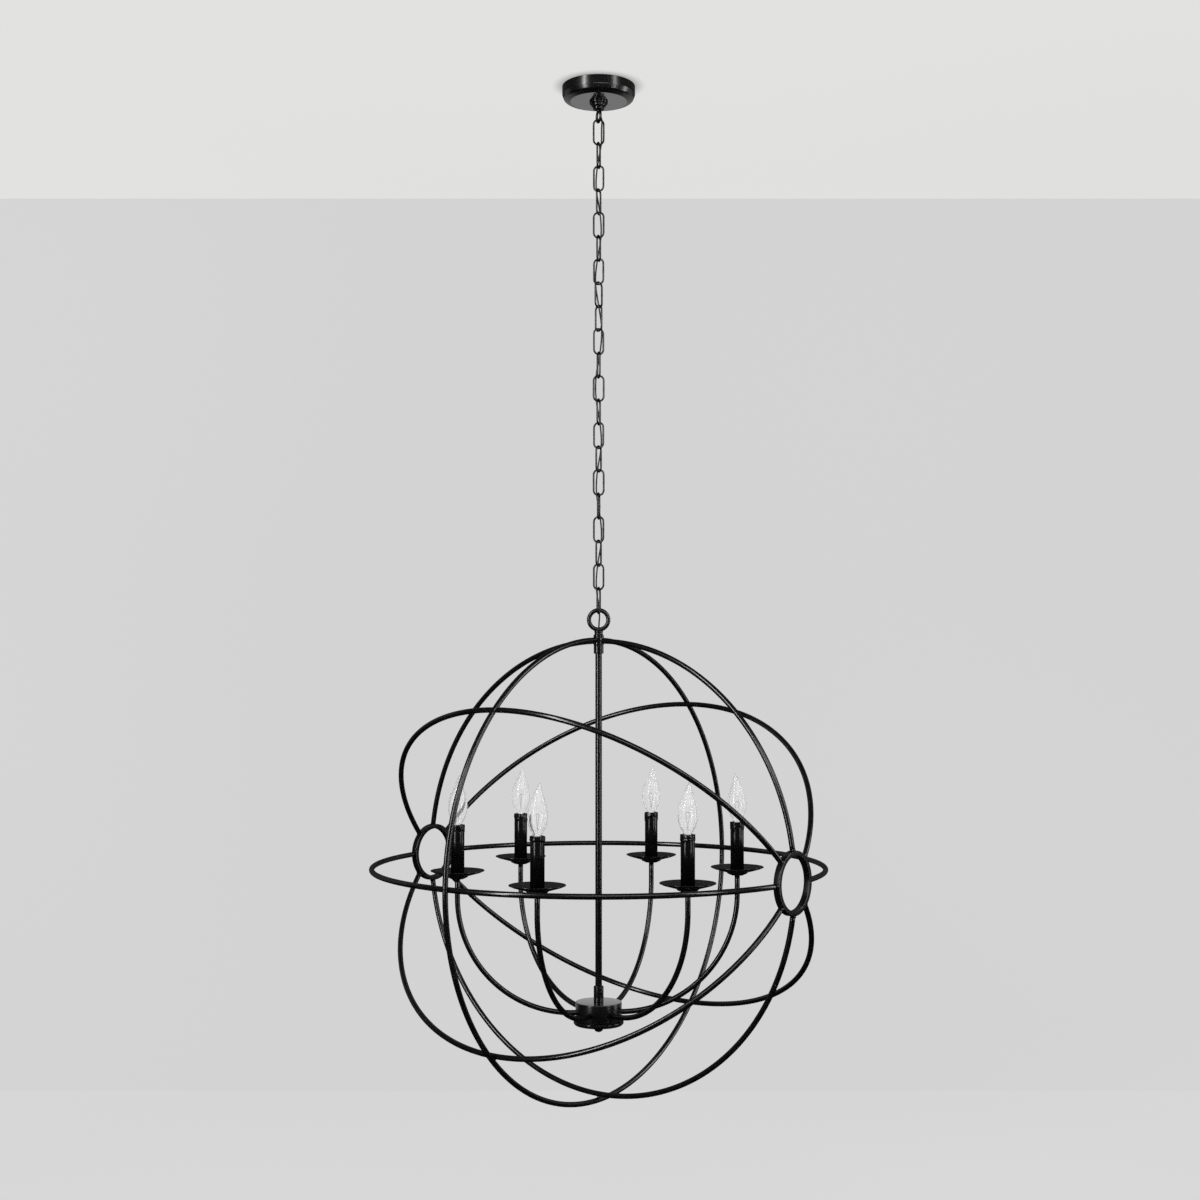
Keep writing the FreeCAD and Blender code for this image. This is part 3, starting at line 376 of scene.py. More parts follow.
HOLDER_BLACK = coated_metal(
    "holder_plastic",
    gloss=0.4,
    dark=(0.01, 0.01, 0.01),
    pale=(0.018, 0.018, 0.018),
    smooth=0.5,
    rough=0.65,
    grain=700.0,
    depth=0.00003,
)
CORD_BLACK = coated_metal(
    "cord_jacket",
    gloss=0.35,
    dark=(0.004, 0.004, 0.004),
    pale=(0.009, 0.009, 0.009),
    smooth=0.38,
    rough=0.55,
    grain=600.0,
    depth=0.000005,
)
FILAMENT = coated_metal(
    "filament_metal",
    metal=1.0,
    dark=(0.12, 0.115, 0.11),
    pale=(0.25, 0.24, 0.22),
    smooth=0.35,
    rough=0.5,
    grain=2000.0,
    depth=0.000005,
)
GLASS = clear_glass()

# ---- mesh building ----------------------------------------------------------------------------------


class Form:
    """Points and faces, in millimetres, that grow piece by piece."""

    def __init__(self):
        self.points = []
        self.faces = []

    def add(self, points, faces):
        base = len(self.points)
        self.points.extend(points)
        self.faces.extend(tuple(index + base for index in face) for face in faces)
        return self

    def rings(self, rings, closed_round=True, joined_ends=False, caps=False):
        """A skin over equal rings of points."""
        count = len(rings[0])
        faces = []
        last = len(rings) if joined_ends else len(rings) - 1
        for ring in range(last):
            after = (ring + 1) % len(rings)
            for side in range(count if closed_round else count - 1):
                turn = (side + 1) % count
                faces.append(
                    (ring * count + side, ring * count + turn, after * count + turn, after * count + side)
                )
        if caps:
            faces.append(tuple(reversed(range(count))))
            faces.append(tuple((len(rings) - 1) * count + side for side in range(count)))
        return self.add([point for ring in rings for point in ring], faces)

    def moved(self, matrix):
        self.points = [matrix @ Vector(point) for point in self.points]
        return self

    def join(self, other):
        return self.add(other.points, other.faces)


def piece(name, form, body, material, slot, *nodes):
    """An object from a form, standing for CAD nodes. It rides on its body, unless it has none yet."""
    mesh = bpy.data.meshes.new(name)
    mesh.from_pydata([tuple(value * MM for value in point) for point in form.points], [], form.faces)
    mesh.validate()
    mesh.shade_smooth()
    mesh.materials.append(material)
    item = bpy.data.objects.new(name, mesh)
    bpy.context.scene.collection.objects.link(item)
    if body:
        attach(item, body)
    if nodes:
        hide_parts(*nodes)
    return item


def painted(name, form, node, body="orb", material=BLACK):
    """A piece in black paint that stands for one CAD node."""
    return piece(name, form, body, material, "black_paint", node)


def rounded(corners, radii, steps=5):
    """An outline of radius and height with its corners rounded; one radius for all, or one for each."""
    if not isinstance(radii, (list, tuple)):
        radii = [radii] * len(corners)
    outline = []
    for number, (corner, radius) in enumerate(zip(corners, radii)):
        here = Vector(corner)
        back = Vector(corners[number - 1]) - here
        ahead = Vector(corners[(number + 1) % len(corners)]) - here
        ends = number in (0, len(corners) - 1) and radius == 0
        if ends or radius <= 0 or back.length < TINY or ahead.length < TINY:
            outline.append(tuple(here))
            continue
        half = back.angle(ahead) / 2
        reach = min(radius / math.tan(half), back.length * CORNER_SHARE, ahead.length * CORNER_SHARE)
        bend = reach * math.tan(half)
        back.normalize()
        ahead.normalize()
        centre = here + (back + ahead).normalized() * (bend / math.sin(half))
        first, last = here + back * reach - centre, here + ahead * reach - centre
        for step in range(steps + 1):
            share = step / steps
            arm = first.lerp(last, share).normalized() * bend
            outline.append(tuple(centre + arm))
    return outline


def lathe(outline, sides=72, closed=True):
    """A closed outline of radius and height turned about the Z axis."""
    rings = []
    for side in range(sides):
        angle = TURN * side / sides
        rings.append([(r * math.cos(angle), r * math.sin(angle), z) for r, z in outline])
    return Form().rings(rings, joined_ends=True, closed_round=closed)


def tube(path, diameter, sides=16, closed=False):
    """A round tube along points, its section kept from twisting."""
    path = [Vector(point) for point in path]
    count = len(path)
    tangents = []
    for number in range(count):
        before = path[number - 1] if closed or number else path[0]
        after = path[(number + 1) % count] if closed or number < count - 1 else path[-1]
        tangents.append((after - before).normalized())
    side = tangents[0].orthogonal().normalized()
    sections = []
    for number, tangent in enumerate(tangents):
        if number:
            side = tangents[number - 1].rotation_difference(tangent) @ side
        sections.append((tangent, side.copy()))
    slip = 0.0
    if closed:
        last = sections[-1][0].rotation_difference(sections[0][0]) @ sections[-1][1]
        start = sections[0][1]
        slip = math.atan2(sections[0][0].dot(last.cross(start)), last.dot(start))
    rings = []
    for number, (tangent, side) in enumerate(sections):
        turned = Quaternion(tangent, slip * number / count) @ side
        up = tangent.cross(turned)
        rings.append(
            [
                path[number]
                + (turned * math.cos(TURN * s / sides) + up * math.sin(TURN * s / sides)) * (diameter / 2)
                for s in range(sides)
            ]
        )
    return Form().rings(rings, joined_ends=closed, caps=not closed)


def arc(centre, reach, start, end, steps, across=(1, 0, 0), up=(0, 0, 1)):
    """Points on an arc between two directions."""
    centre, across, up = Vector(centre), Vector(across), Vector(up)
    points = []
    for step in range(steps + 1):
        angle = start + (end - start) * step / steps
        points.append(centre + across * (reach * math.cos(angle)) + up * (reach * math.sin(angle)))
    return points


def turned(form, angle):
    return form.moved(Matrix.Rotation(angle, 4, "Z"))


def lifted(form, height):
    return form.moved(Matrix.Translation((0, 0, height)))


def weld_bead(place, size, seed):
    """A small uneven lump of weld."""
    rows, sides = 7, 12
    shift = Vector((seed * 3.1, seed, 0))
    rings = []
    for row in range(rows):
        lat = math.pi * (row + 0.5) / rows - math.pi / 2
        ring = []
        for side in range(sides):
            lon = TURN * side / sides
            way = Vector((math.cos(lat) * math.cos(lon), math.cos(lat) * math.sin(lon), math.sin(lat)))
            swell = size * (1 + WELD_ROUGHNESS * noise.noise(way * WELD_GRAIN + shift))
            ring.append(Vector(place) + way * swell)
        rings.append(ring)
    return Form().rings(rings, caps=True)


# ---- canopy group -----------------------------------------------------------------------------------


def make_canopy():
    outer, hole = CANOPY_DIAMETER / 2, NIPPLE_HOLE / 2
    inner, floor = outer - CANOPY_SHEET, canopy_floor + CANOPY_SHEET
    outline = rounded(
        [
            (outer, 0),
            (outer, canopy_floor + CANOPY_SHOULDER * CANOPY_WALL_SHARE),
            (outer - CANOPY_RIM_IN, canopy_floor + CANOPY_RIM_RISE),
            (CANOPY_DISC / 2, canopy_floor),
            (hole, canopy_floor),
            (hole, floor),
            (inner, floor),
            (inner, 0),
        ],
        [0.5, 6.0, 5.0, 0.3, 0.3, 0.3, CANOPY_SHOULDER - CANOPY_SHEET, 0.5],
        10,
    )
    painted("canopy_shell", lathe(outline, 128), "canopy", "ceiling_group", PLATE_BLACK)


def make_collar():
    (flange, flange_height), (step, step_height), _ = COLLAR_STEPS
    hole, flange_foot = NIPPLE_HOLE / 2, canopy_floor - flange_height
    foot = flange_foot - step_height
    outline = rounded(
        [
            (hole, foot),
            (step / 2, foot),
            (step / 2, flange_foot),
            (flange / 2, flange_foot),
            (flange / 2, canopy_floor),
            (hole, canopy_floor),
        ],
        [0.2, 1.2, 0.5, 1.4, 0.2, 0.2],
    )
    painted("collar", lathe(outline), "collar_nut", "ceiling_group")


def make_canopy_loop():
    boss, height = COLLAR_STEPS[2]
    outline = rounded(
        [(0, boss_foot), (boss / 2, boss_foot), (boss / 2, boss_foot + height), (0, boss_foot + height)],
        [0, 1.6, 0.3, 0],
    )
    form = lathe(outline, closed=False)
    ring = tube(arc((0, 0, 0), canopy_ring_reach, 0, TURN, 64)[:-1], CANOPY_RING_WIRE, 16, True)
    form.join(lifted(turned(ring, math.radians(CANOPY_RING_TURN)), canopy_ring_centre))
    form.join(weld_bead((0, 0, boss_foot - 1.0), BOSS_WELD, 1))
    painted("canopy_hanging_ring", form, "canopy_loop", "ceiling_group")


# ---- chain and cord ---------------------------------------------------------------------------------


def link_form():
    """One oval link with the flat swell of its closing weld on one leg."""
    reach = (LINK_OUTER_WIDTH - LINK_WIRE) / 2
    leg, bend_steps, leg_steps = link_length - 2 * reach, 20, 8
    path = arc((0, 0, -reach), reach, math.pi, 0, bend_steps)
    path += [Vector((reach, 0, -reach - leg * step / leg_steps)) for step in range(1, leg_steps)]
    path += arc((0, 0, reach - link_length), reach, 0, -math.pi, bend_steps)
    path += [
        Vector((-reach, 0, reach - link_length + leg * step / leg_steps)) for step in range(1, leg_steps)
    ]
    form = tube(path, LINK_WIRE, 14, True)
    seam = Vector((reach, 0, -link_length / 2))
    swelled = []
    for point in form.points:
        point = Vector(point)
        along = abs(point.z - seam.z)
        if point.x > 0 and along < LINK_SEAM:
            axis = Vector((reach, 0, point.z))
            swell = 1 + LINK_SEAM_SWELL * math.cos(along / LINK_SEAM * math.pi / 2)
            point = axis + (point - axis) * swell
        swelled.append(point)
    form.points = swelled
    return form


def make_chain():
    for number, turn in enumerate(LINK_TURNS, start=1):
        form = lifted(turned(link_form(), math.radians(turn)), first_link_top - link_step * (number - 1))
        name = f"link_{number:02d}"
        painted(f"{name}_wire", form, name, f"{name}_body")


def cord_route():
    """The cord's points: out of the canopy ring, round the chain through every link, and into the boss."""
    wires = [CANOPY_RING_WIRE] + [LINK_WIRE] * len(LINK_TURNS) + [ORB_RING_WIRE]
    turns = [CANOPY_RING_TURN] + LINK_TURNS + [0]
    reaches = [(wire + CORD_DIAMETER) / 2 + CORD_GAP for wire in wires]
    crossings = []
    turned_so_far = 0
    for number in range(len(turns) - 1):
        above, below = reaches[number], reaches[number + 1]
        swing = (turns[number + 1] - turns[number]) % 180
        step = math.radians(swing)
        lead = math.atan2(above * math.sin(step), below + above * math.cos(step))
        out = above / math.sin(lead) + CORD_EASE
        bearing = math.radians(turns[0] + turned_so_far) + lead
        turned_so_far += swing
        height = first_link_top - link_step * number
        crossings.append(Vector((out * math.cos(bearing), out * math.sin(bearing), height)))
    middle = (crossings[0] + crossings[1]) / 2
    inward = Vector((middle.x, middle.y, 0)).normalized() * CORD_EASE
    way_in = canopy_ring_centre + canopy_ring_reach - CANOPY_RING_WIRE / 2 - CORD_DIAMETER / 2
    way_out = orb_ring_centre - orb_ring_reach + ORB_RING_WIRE / 2 - CORD_DIAMETER / 2
    end = Vector((0, 0, CORD_END_LENGTH))
    top, foot = Vector((0, 0, way_in)), Vector((0, 0, way_out))
    return [top + end, top, crossings[0], middle - inward] + crossings[1:] + [foot, foot - end]


def smooth_line(points):
    """Points along the NURBS spline of a route, in millimetres."""
    curve = bpy.data.curves.new("cord_line", "CURVE")
    curve.dimensions = "3D"
    spline = curve.splines.new("NURBS")
    spline.points.add(len(points) - 1)
    for target, point in zip(spline.points, points):
        target.co = (*(point * MM), 1)
    spline.order_u = 3
    spline.use_endpoint_u = True
    spline.resolution_u = 14
    item = bpy.data.objects.new("cord_line", curve)
    bpy.context.scene.collection.objects.link(item)
    bpy.context.view_layer.update()
    mesh = bpy.data.meshes.new_from_object(item.evaluated_get(bpy.context.evaluated_depsgraph_get()))
    line = [vertex.co / MM for vertex in mesh.vertices]
    bpy.data.objects.remove(item)
    return line


def make_cord():
    """One stretch of cord for each joint of the chain, cut halfway down every link."""
    line = smooth_line(cord_route())
    links = range(len(LINK_TURNS))
    middles = [first_link_top - link_step * number - link_length / 2 for number in links]
    cuts = [line[0].z] + middles + [line[-1].z]
    pivots = [canopy_ring_centre - canopy_ring_reach]
    pivots += [first_link_top - link_step * number - link_length for number in links]
    for number, (high, low) in enumerate(zip(cuts, cuts[1:])):
        first, last = crossing_point(line, high), crossing_point(line, low)
        between = [
            point
            for point in line
            if low - TINY <= point.z <= high + TINY
            and (point - first).length > CORD_SPACING
            and (point - last).length > CORD_SPACING
        ]
        form = tube([first, *between, last], CORD_DIAMETER, 14)
        item = piece(f"cord_{number + 1:02d}", form, None, CORD_BLACK, "cord_jacket")
        if number == 0:
            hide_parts("supply_cord")
        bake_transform(item)


def crossing_point(line, height):
    """Where the line passes a height."""
    for above, below in zip(line, line[1:]):
        if above.z >= height >= below.z:
            share = (above.z - height) / max(above.z - below.z, 1e-9)
            return above.lerp(below, share)
    return line[0] if height > line[0].z else line[-1]


# ---- orb: ring, stem and hub ------------------------------------------------------------------------


def make_orb_loop():
    wide, neck = RING_BOSS / 2, RING_NECK / 2
    top = top_hub_top + RING_BOSS_HEIGHT
    outline = rounded(
        [
            (0, top_hub_top),
            (wide, top_hub_top),
            (wide, top_hub_top + RING_BOSS_HEIGHT * 0.3),
            (neck, top_hub_top + RING_BOSS_HEIGHT * 0.52),
            (neck, top_hub_top + RING_BOSS_HEIGHT * 0.8),
            (neck + 0.8, top + 1.2),
            (0, top + 2.4),
        ],
        [0, 0.8, 0.8, 0.8, 1.0, 1.0, 0],
    )
    form = lathe(outline, closed=False)
    ring = tube(arc((0, 0, 0), orb_ring_reach, 0, TURN, 96)[:-1], ORB_RING_WIRE, 24, True)
    form.join(lifted(ring, orb_ring_centre))
    painted("orb_hanging_ring", form, "orb_loop")


def bar(top, foot, diameter, edge, sides=48):
    """An upright round bar with rounded edges."""
    wide = diameter / 2
    outline = rounded([(0, foot), (wide, foot), (wide, top), (0, top)], [0, edge, edge, 0])
    return lathe(outline, sides, False)


def make_stem():
    painted("upper_hub", bar(top_hub_top, top_hub_foot, TOP_HUB, 0.9), "top_hub")
    width = COUPLER + PAINT_FULLNESS
    bushes = bar(top_hub_foot, top_hub_foot - TOP_COUPLER_LENGTH, width, 0.7)
    bushes.join(bar(hub_top + LOW_COUPLER_LENGTH, hub_top, width, 0.7))
    painted("stem_bushes", bushes, "stem_couplers")
    painted("stem_rod", bar(top_hub_foot, hub_top, STEM + PAINT_FULLNESS, 0.1), "stem")


def make_hub():
    outer, lip, inner_top = HUB_DIAMETER / 2, HUB_DIAMETER / 2 - HUB_SHEET, hub_top - HUB_SHEET
    cover = rounded(
        [
            (0, hub_top),
            (outer, hub_top),
            (outer, hub_foot),
            (lip, hub_foot),
            (lip, inner_top),
            (0, inner_top),
        ],
        [0, 1.4, 0.4, 0.4, 1.0, 0],
    )
    painted("drum", lathe(cover, 96, False), "hub_cover", material=PLATE_BLACK)
    rim = BASE_DIAMETER / 2
    base = rounded(
        [
            (0, base_foot),
            (rim - BASE_CHAMFER, base_foot),
            (rim, base_foot + BASE_CHAMFER),
            (rim, hub_foot),
            (0, hub_foot),
        ],
        [0, 1.2, 1.2, 1.0, 0],
    )
    painted("drum_base", lathe(base, 96, False), "hub_base")
    radius, steps = FINIAL / 2, 12
    dome = [(0, base_foot), (radius, base_foot)]
    dome += [
        (radius * math.cos(angle), finial_foot + radius - radius * math.sin(angle))
        for angle in (math.pi / 2 * step / steps for step in range(steps + 1))
    ]
    painted("domed_nut", lathe(dome, 64, False), "finial")


# ---- orb: hoops -------------------------------------------------------------------------------------


def hoop_halves(tilt):
    """Both halves of a hoop that runs between the side rings, tilted about the line between them."""
    ring_angle = math.asin((SIDE_RING / 2 - 2.5) / HOOP_RADIUS)
    up = (0, -math.sin(tilt), math.cos(tilt))
    reach = HOOP_RADIUS - PAINT_FULLNESS / 2
    halves = Form()
    for start in (ring_angle, math.pi + ring_angle):
        path = arc((0, 0, 0), reach, start, start + math.pi - 2 * ring_angle, 110, (1, 0, 0), up)
        halves.join(tube(path, HOOP_TUBE + PAINT_FULLNESS, 20))
    return halves


def make_hoops():
    tilts = {"hoop_level": 90, "hoop_tilted_a": -45, "hoop_upright": 0, "hoop_tilted_b": 45}
    for name, tilt in tilts.items():
        form = lifted(turned(hoop_halves(math.radians(tilt)), HOOP_TURN), orb_centre)
        painted(f"{name}_tube", form, name)
    path = arc((0, 0, -CROSS_DROP), CROSS_RADIUS - PAINT_FULLNESS / 2, 0, TURN, 240, (0, 1, 0))[:-1]
    cross = tube(path, HOOP_TUBE + PAINT_FULLNESS, 20, True)
    reach = (HOOP_RADIUS + CROSS_RADIUS) / 2
    for number, tilt in enumerate(range(45, 360, 45)):
        angle = math.radians(90 + tilt)
        place = (0, reach * math.cos(angle), reach * math.sin(angle) - CROSS_DROP / 2)
        cross.join(weld_bead(place, HOOP_WELD, number))
    painted("hoop_cross_tube", lifted(turned(cross, HOOP_TURN), orb_centre), "hoop_cross")


def make_side_rings():
    outer, bore, half = SIDE_RING / 2, SIDE_RING_BORE / 2, SIDE_RING_WIDTH / 2
    outline = rounded([(bore, -half), (outer, -half), (outer, half), (bore, half)], 1.1)
    for name, turn, seed in (("side_ring_right", 0.0, 0), ("side_ring_left", math.pi, 10)):
        form = lathe(outline, 96)
        for number in range(RING_WELD_COUNT):
            angle = TURN * number / RING_WELD_COUNT
            place = (outer * math.cos(angle), outer * math.sin(angle), 0.8)
            form.join(weld_bead(place, RING_WELD, number + seed))
        form.moved(Matrix.Translation((side_ring_reach, 0, 0)) @ Matrix.Rotation(math.pi / 2, 4, "Y"))
        painted(f"{name}_band", lifted(turned(form, HOOP_TURN + turn), orb_centre), name)


# ---- orb: arms and candles --------------------------------------------------------------------------


def round_the_hub(make):
    """The same form at every candle."""
    whole = Form()
    for number in range(ARM_COUNT):
        whole.join(turned(make(number), ARM_TURN + TURN * number / ARM_COUNT))
    return whole


def at_candle(form):
    return form.moved(Matrix.Translation((CANDLE_CIRCLE, 0, 0)))


def arm_form():
    start = HUB_DIAMETER / 2 - ARM_INSIDE
    bend_start = CANDLE_CIRCLE - ARM_BEND
    path = [Vector((start, 0, arm_height)), Vector(((start + bend_start) / 2, 0, arm_height))]
    path += arc((bend_start, 0, arm_height + ARM_BEND), ARM_BEND, -math.pi / 2, 0, 60)
    path += [Vector((CANDLE_CIRCLE, 0, sleeve_foot - 20)), Vector((CANDLE_CIRCLE, 0, sleeve_foot))]
    return tube(path, ARM_TUBE + PAINT_FULLNESS, 20)


def make_arms():
    for number in range(ARM_COUNT):
        form = turned(arm_form(), ARM_TURN + TURN * number / ARM_COUNT)
        painted(f"arm_{number + 1}_tube", form, f"arm_{number + 1}")


def pan_form(_):
    """A dish with a rolled rim over a stepped cup."""
    rim, cup, foot, hole = PAN_DIAMETER / 2, PAN_CUP / 2, PAN_FOOT / 2, ARM_TUBE / 2
    pan_foot = pan_floor - PAN_CUP_DEPTH
    pan_rim = pan_floor + PAN_DISH_DEPTH
    half = PAN_SHEET / 2
    outline = rounded(
        [
            (hole, pan_foot),
            (foot, pan_foot),
            (cup - PAN_SHEET, pan_floor - PAN_CUP_DEPTH * PAN_CUP_SHARE),
            (cup, pan_floor),
            (rim - 6, pan_rim - half - 2.6),
            (rim, pan_rim - half),
            (rim, pan_rim + half),
            (rim - 6.6, pan_rim + half - 2.6),
            (cup + PAN_SHEET, sleeve_foot),
            (hole, sleeve_foot),
        ],
        [0, 1.5, 1.0, 2.0, 6.0, 0.58, 0.58, 6.0, 4.0, 0],
    )
    return at_candle(lathe(outline, 72))


def holder_form(_):
    socket = glass_foot - BULB_CAP_LENGTH - 0.3
    step = socket - HOLDER_BORE / 2
    top = sleeve_top - HOLDER_SINK
    outline = rounded(
        [
            (0, sleeve_foot),
            (HOLDER_NECK / 2, sleeve_foot),
            (HOLDER_NECK / 2, step),
            (HOLDER / 2, step),
            (HOLDER / 2, top),
            (HOLDER_BORE / 2, top),
            (HOLDER_BORE / 2, socket),
            (0, socket),
        ],
        [0, 0.5, 0.5, 0.8, 0.8, 0.5, 0.5, 0],
    )
    return at_candle(lathe(outline, 40, False))


def sleeve_form(number):
    """A tube whose top is dipped in wax: a lumpy lip, with runs of wax of uneven length below it."""
    inner = SLEEVE / 2 - SLEEVE_WALL
    outer, lip = (SLEEVE + PAINT_FULLNESS) / 2, (SLEEVE_BAND + PAINT_FULLNESS) / 2
    sides, rows = 84, 60
    rings = []
    for side in range(sides):
        angle = TURN * side / sides
        way = Vector((math.cos(angle), math.sin(angle), number * 2.7))
        drip = max(0.0, noise.noise(way * 3.3) - WAX_DRIP_FROM)
        run = WAX_RUN + WAX_RUN_WAVE * noise.noise(way * 1.6) + WAX_DRIP * drip
        thick = WAX_SWELL + WAX_SWELL_WAVE * noise.noise(way * 2.7 + Vector((0, 7, 0)))
        wax = (lip - outer) * thick
        top = sleeve_top - WAX_LIP_DROP + WAX_LIP_WAVE * noise.noise(way * 2.4 + Vector((5, 0, 0)))
        ring = [(inner, sleeve_foot), (outer, sleeve_foot)]
        for row in range(rows):
            height = sleeve_top - WAX_REACH * (1 - row / (rows - 1))
            depth = (sleeve_top - height) / run
            spot = Vector((way.x * 2.2, way.y * 2.2, height * 0.3 + number))
            lump = 1.0 + WAX_LUMP * noise.noise(spot)
            swell = wax * lump * math.sqrt(max(0.0, 1 - depth**8)) if depth < 1 else 0.0
            ring.append((outer + swell * (0.7 + 0.3 * min(depth, 1.0)), min(height, top)))
        ring += [(outer + wax * 0.3, top + 0.4), (inner + 0.3, top + 0.35), (inner, top - 0.3)]
        rings.append([(r * math.cos(angle), r * math.sin(angle), z) for r, z in ring])
    return at_candle(Form().rings(rings, joined_ends=True))


def make_candles():
    painted("drip_dishes", round_the_hub(pan_form), "drip_pans")
    piece("sockets", round_the_hub(holder_form), "orb", HOLDER_BLACK, "holder_plastic", "lampholders")
    piece("waxed_sleeves", round_the_hub(sleeve_form), "orb", SLEEVE_BLACK, "black_sleeve", "candle_sleeves")


# ---- bulbs ------------------------------------------------------------------------------------------

# Share of the glass's height, its radius in millimetres, and share of the tip's lean.
GLASS_OUTLINE = [
    (0.0, 6.8, 0.0),
    (0.03, 7.5, 0.0),
    (0.07, 8.6, 0.0),
    (0.12, 10.8, 0.0),
    (0.18, 13.2, 0.0),
    (0.25, 15.1, 0.0),
    (0.33, 15.95, 0.0),
    (0.41, 16.0, 0.01),
    (0.5, 15.2, 0.04),
    (0.59, 13.5, 0.1),
    (0.68, 11.0, 0.2),
    (0.77, 8.2, 0.34),
    (0.86, 5.3, 0.54),
    (0.93, 3.1, 0.75),
    (0.98, 1.7, 0.93),
    (1.0, 1.0, 1.0),
]
# The way each bulb's tip leans, in degrees about the Z axis, as it happens to be screwed in.
TIP_WAYS = [180, 0, 0, 0, 0, 0]
# How far the post and the filament are turned in the first bulb, and how much more in each next one.
FIRST_ROLL, ROLL_STEP = 0.4, 0.9


def glass_point(share):
    """Radius and lean of the glass at a share of its height, on a smooth line through the outline."""
    for low, high in zip(GLASS_OUTLINE, GLASS_OUTLINE[1:]):
        if share <= high[0]:
            break
    index = GLASS_OUTLINE.index(low)
    before = GLASS_OUTLINE[max(index - 1, 0)]
    after = GLASS_OUTLINE[min(index + 2, len(GLASS_OUTLINE) - 1)]
    t = (share - low[0]) / (high[0] - low[0])
    values = []
    for column in (1, 2):
        slope_low = (high[column] - before[column]) / max(high[0] - before[0], TINY)
        slope_high = (after[column] - low[column]) / max(after[0] - low[0], TINY)
        width = high[0] - low[0]
        values.append(
            (2 * t**3 - 3 * t**2 + 1) * low[column]
            + (t**3 - 2 * t**2 + t) * width * slope_low
            + (3 * t**2 - 2 * t**3) * high[column]
            + (t**3 - t**2) * width * slope_high
        )
    return values


def glass_form():
    """The bulb's outer and inner skins, joined in one closed wall at the foot."""
    rows, sides = 64, 48
    form = Form()
    for wall in (0.0, GLASS_WALL):
        rings = []
        for row in range(rows + 1):
            share = row / rows
            radius, lean = glass_point(share)
            radius = max(radius - wall, 0.25)
            height = glass_foot + wall + (BULB_LENGTH - wall * 4) * share
            shift = lean * BULB_LEAN
            ring = [
                (shift + radius * math.cos(TURN * s / sides), radius * math.sin(TURN * s / sides), height)
                for s in range(sides)
            ]
            rings.append(ring if not wall else ring[::-1])
        form.rings(rings, caps=True)
    return form


def cap_form():
    """The screw cap: a shell rolled into threads, a waist, and the contact at its foot."""
    foot = glass_foot - BULB_CAP_LENGTH
    sides, rows = 48, 70
    rings = []
    for row in range(rows + 1):
        height = foot + CAP_SHELL_FOOT + (BULB_CAP_LENGTH - CAP_SHELL_TRIM) * row / rows
        ring = []
        for side in range(sides):
            angle = TURN * side / sides
            wave = math.sin(TURN * (height - foot) / THREAD_PITCH - angle)
            fade_in = max(0.0, (height - foot - THREAD_FOOT) / 2)
            fade_out = max(0.0, (foot + THREAD_FOOT + THREADS * THREAD_PITCH - height) / 2)
            fade = min(1.0, fade_in, fade_out)
            radius = BULB_CAP / 2 - THREAD_INSET + THREAD_DEPTH * wave * fade
            ring.append((radius * math.cos(angle), radius * math.sin(angle), height))
        rings.append(ring)
    form = Form().rings(rings, caps=True)
    contact = rounded([(0, foot), (2.4, foot), (5.2, foot + 3.2), (0, foot + 3.2)], [0, 0.8, 0.5, 0])
    return form.join(lathe(contact, 32, False))


def press_form():
    """The glass post that carries the filament's wires."""
    foot, top = glass_foot + 1.0, glass_foot + POST_HEIGHT
    corners = [(0, foot), (4.6, foot), (2.2, foot + 5), (1.6, top - 2), (0, top)]
    return lathe(rounded(corners, [0, 0.5, 2.0, 1.0, 0]), 24, False)


def filament_form():
    """Two support wires and the coiled filament, a little bowed, between their hooks."""
    half, top = FILAMENT_SPAN / 2, glass_foot + FILAMENT_HEIGHT
    post = glass_foot + POST_HEIGHT
    form = Form()
    for side in (-1, 1):
        path = [
            (side * 1.0, 0, post - 6),
            (side * 1.3, 0, post + 2),
            (side * 2.6, 0, post + 9),
            (side * (half - 0.2), 0, top - 2),
            (side * half, 0, top),
        ]
        form.join(tube(path, SUPPORT_WIRE, 8))
    coil, steps = [], 8
    for step in range(COIL_TURNS * steps + 1):
        share = step / (COIL_TURNS * steps)
        angle = TURN * step / steps
        height = top + COIL_BOW * math.sin(math.pi * share) + COIL_REACH * math.sin(angle)
        coil.append((half * (2 * share - 1), COIL_REACH * math.cos(angle), height))
    return form.join(tube(coil, COIL_WIRE, 5))


def make_bulbs():
    for number in range(ARM_COUNT):
        turn, name = ARM_TURN + TURN * number / ARM_COUNT, f"bulb_{number + 1}"
        body = f"{name}_body"
        lean = Matrix.Rotation(math.radians(TIP_WAYS[number]) - turn, 4, "Z")
        roll = Matrix.Rotation(ROLL_STEP * number + FIRST_ROLL, 4, "Z")
        parts = (
            ("glass", glass_form(), GLASS, "clear_glass", False),
            ("cap", cap_form(), BRASS, "clear_glass", False),
            ("press", press_form(), GLASS, "clear_glass", True),
            ("filament", filament_form(), FILAMENT, "clear_glass", True),
        )
        for part, form, material, slot, rolled in parts:
            form.moved(roll if rolled else lean)
            nodes = (name,) if part == "glass" else ()
            piece(f"{name}_{part}", turned(at_candle(form), turn), body, material, slot, *nodes)


# ---- hidden metal that keeps its CAD shape ----------------------------------------------------------


def dress_nodes():
    for name, material in (
        ("mounting_strap", STEEL),
        ("locknut", STEEL),
        ("nipple", STEEL),
        ("ground_screw", GREEN),
        ("arm_nuts", STEEL),
        ("centre_rod", STEEL),
    ):
        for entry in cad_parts[name].material_slots:
            entry.material = material


# ---- stage, light and camera ------------------------------------------------------------------------


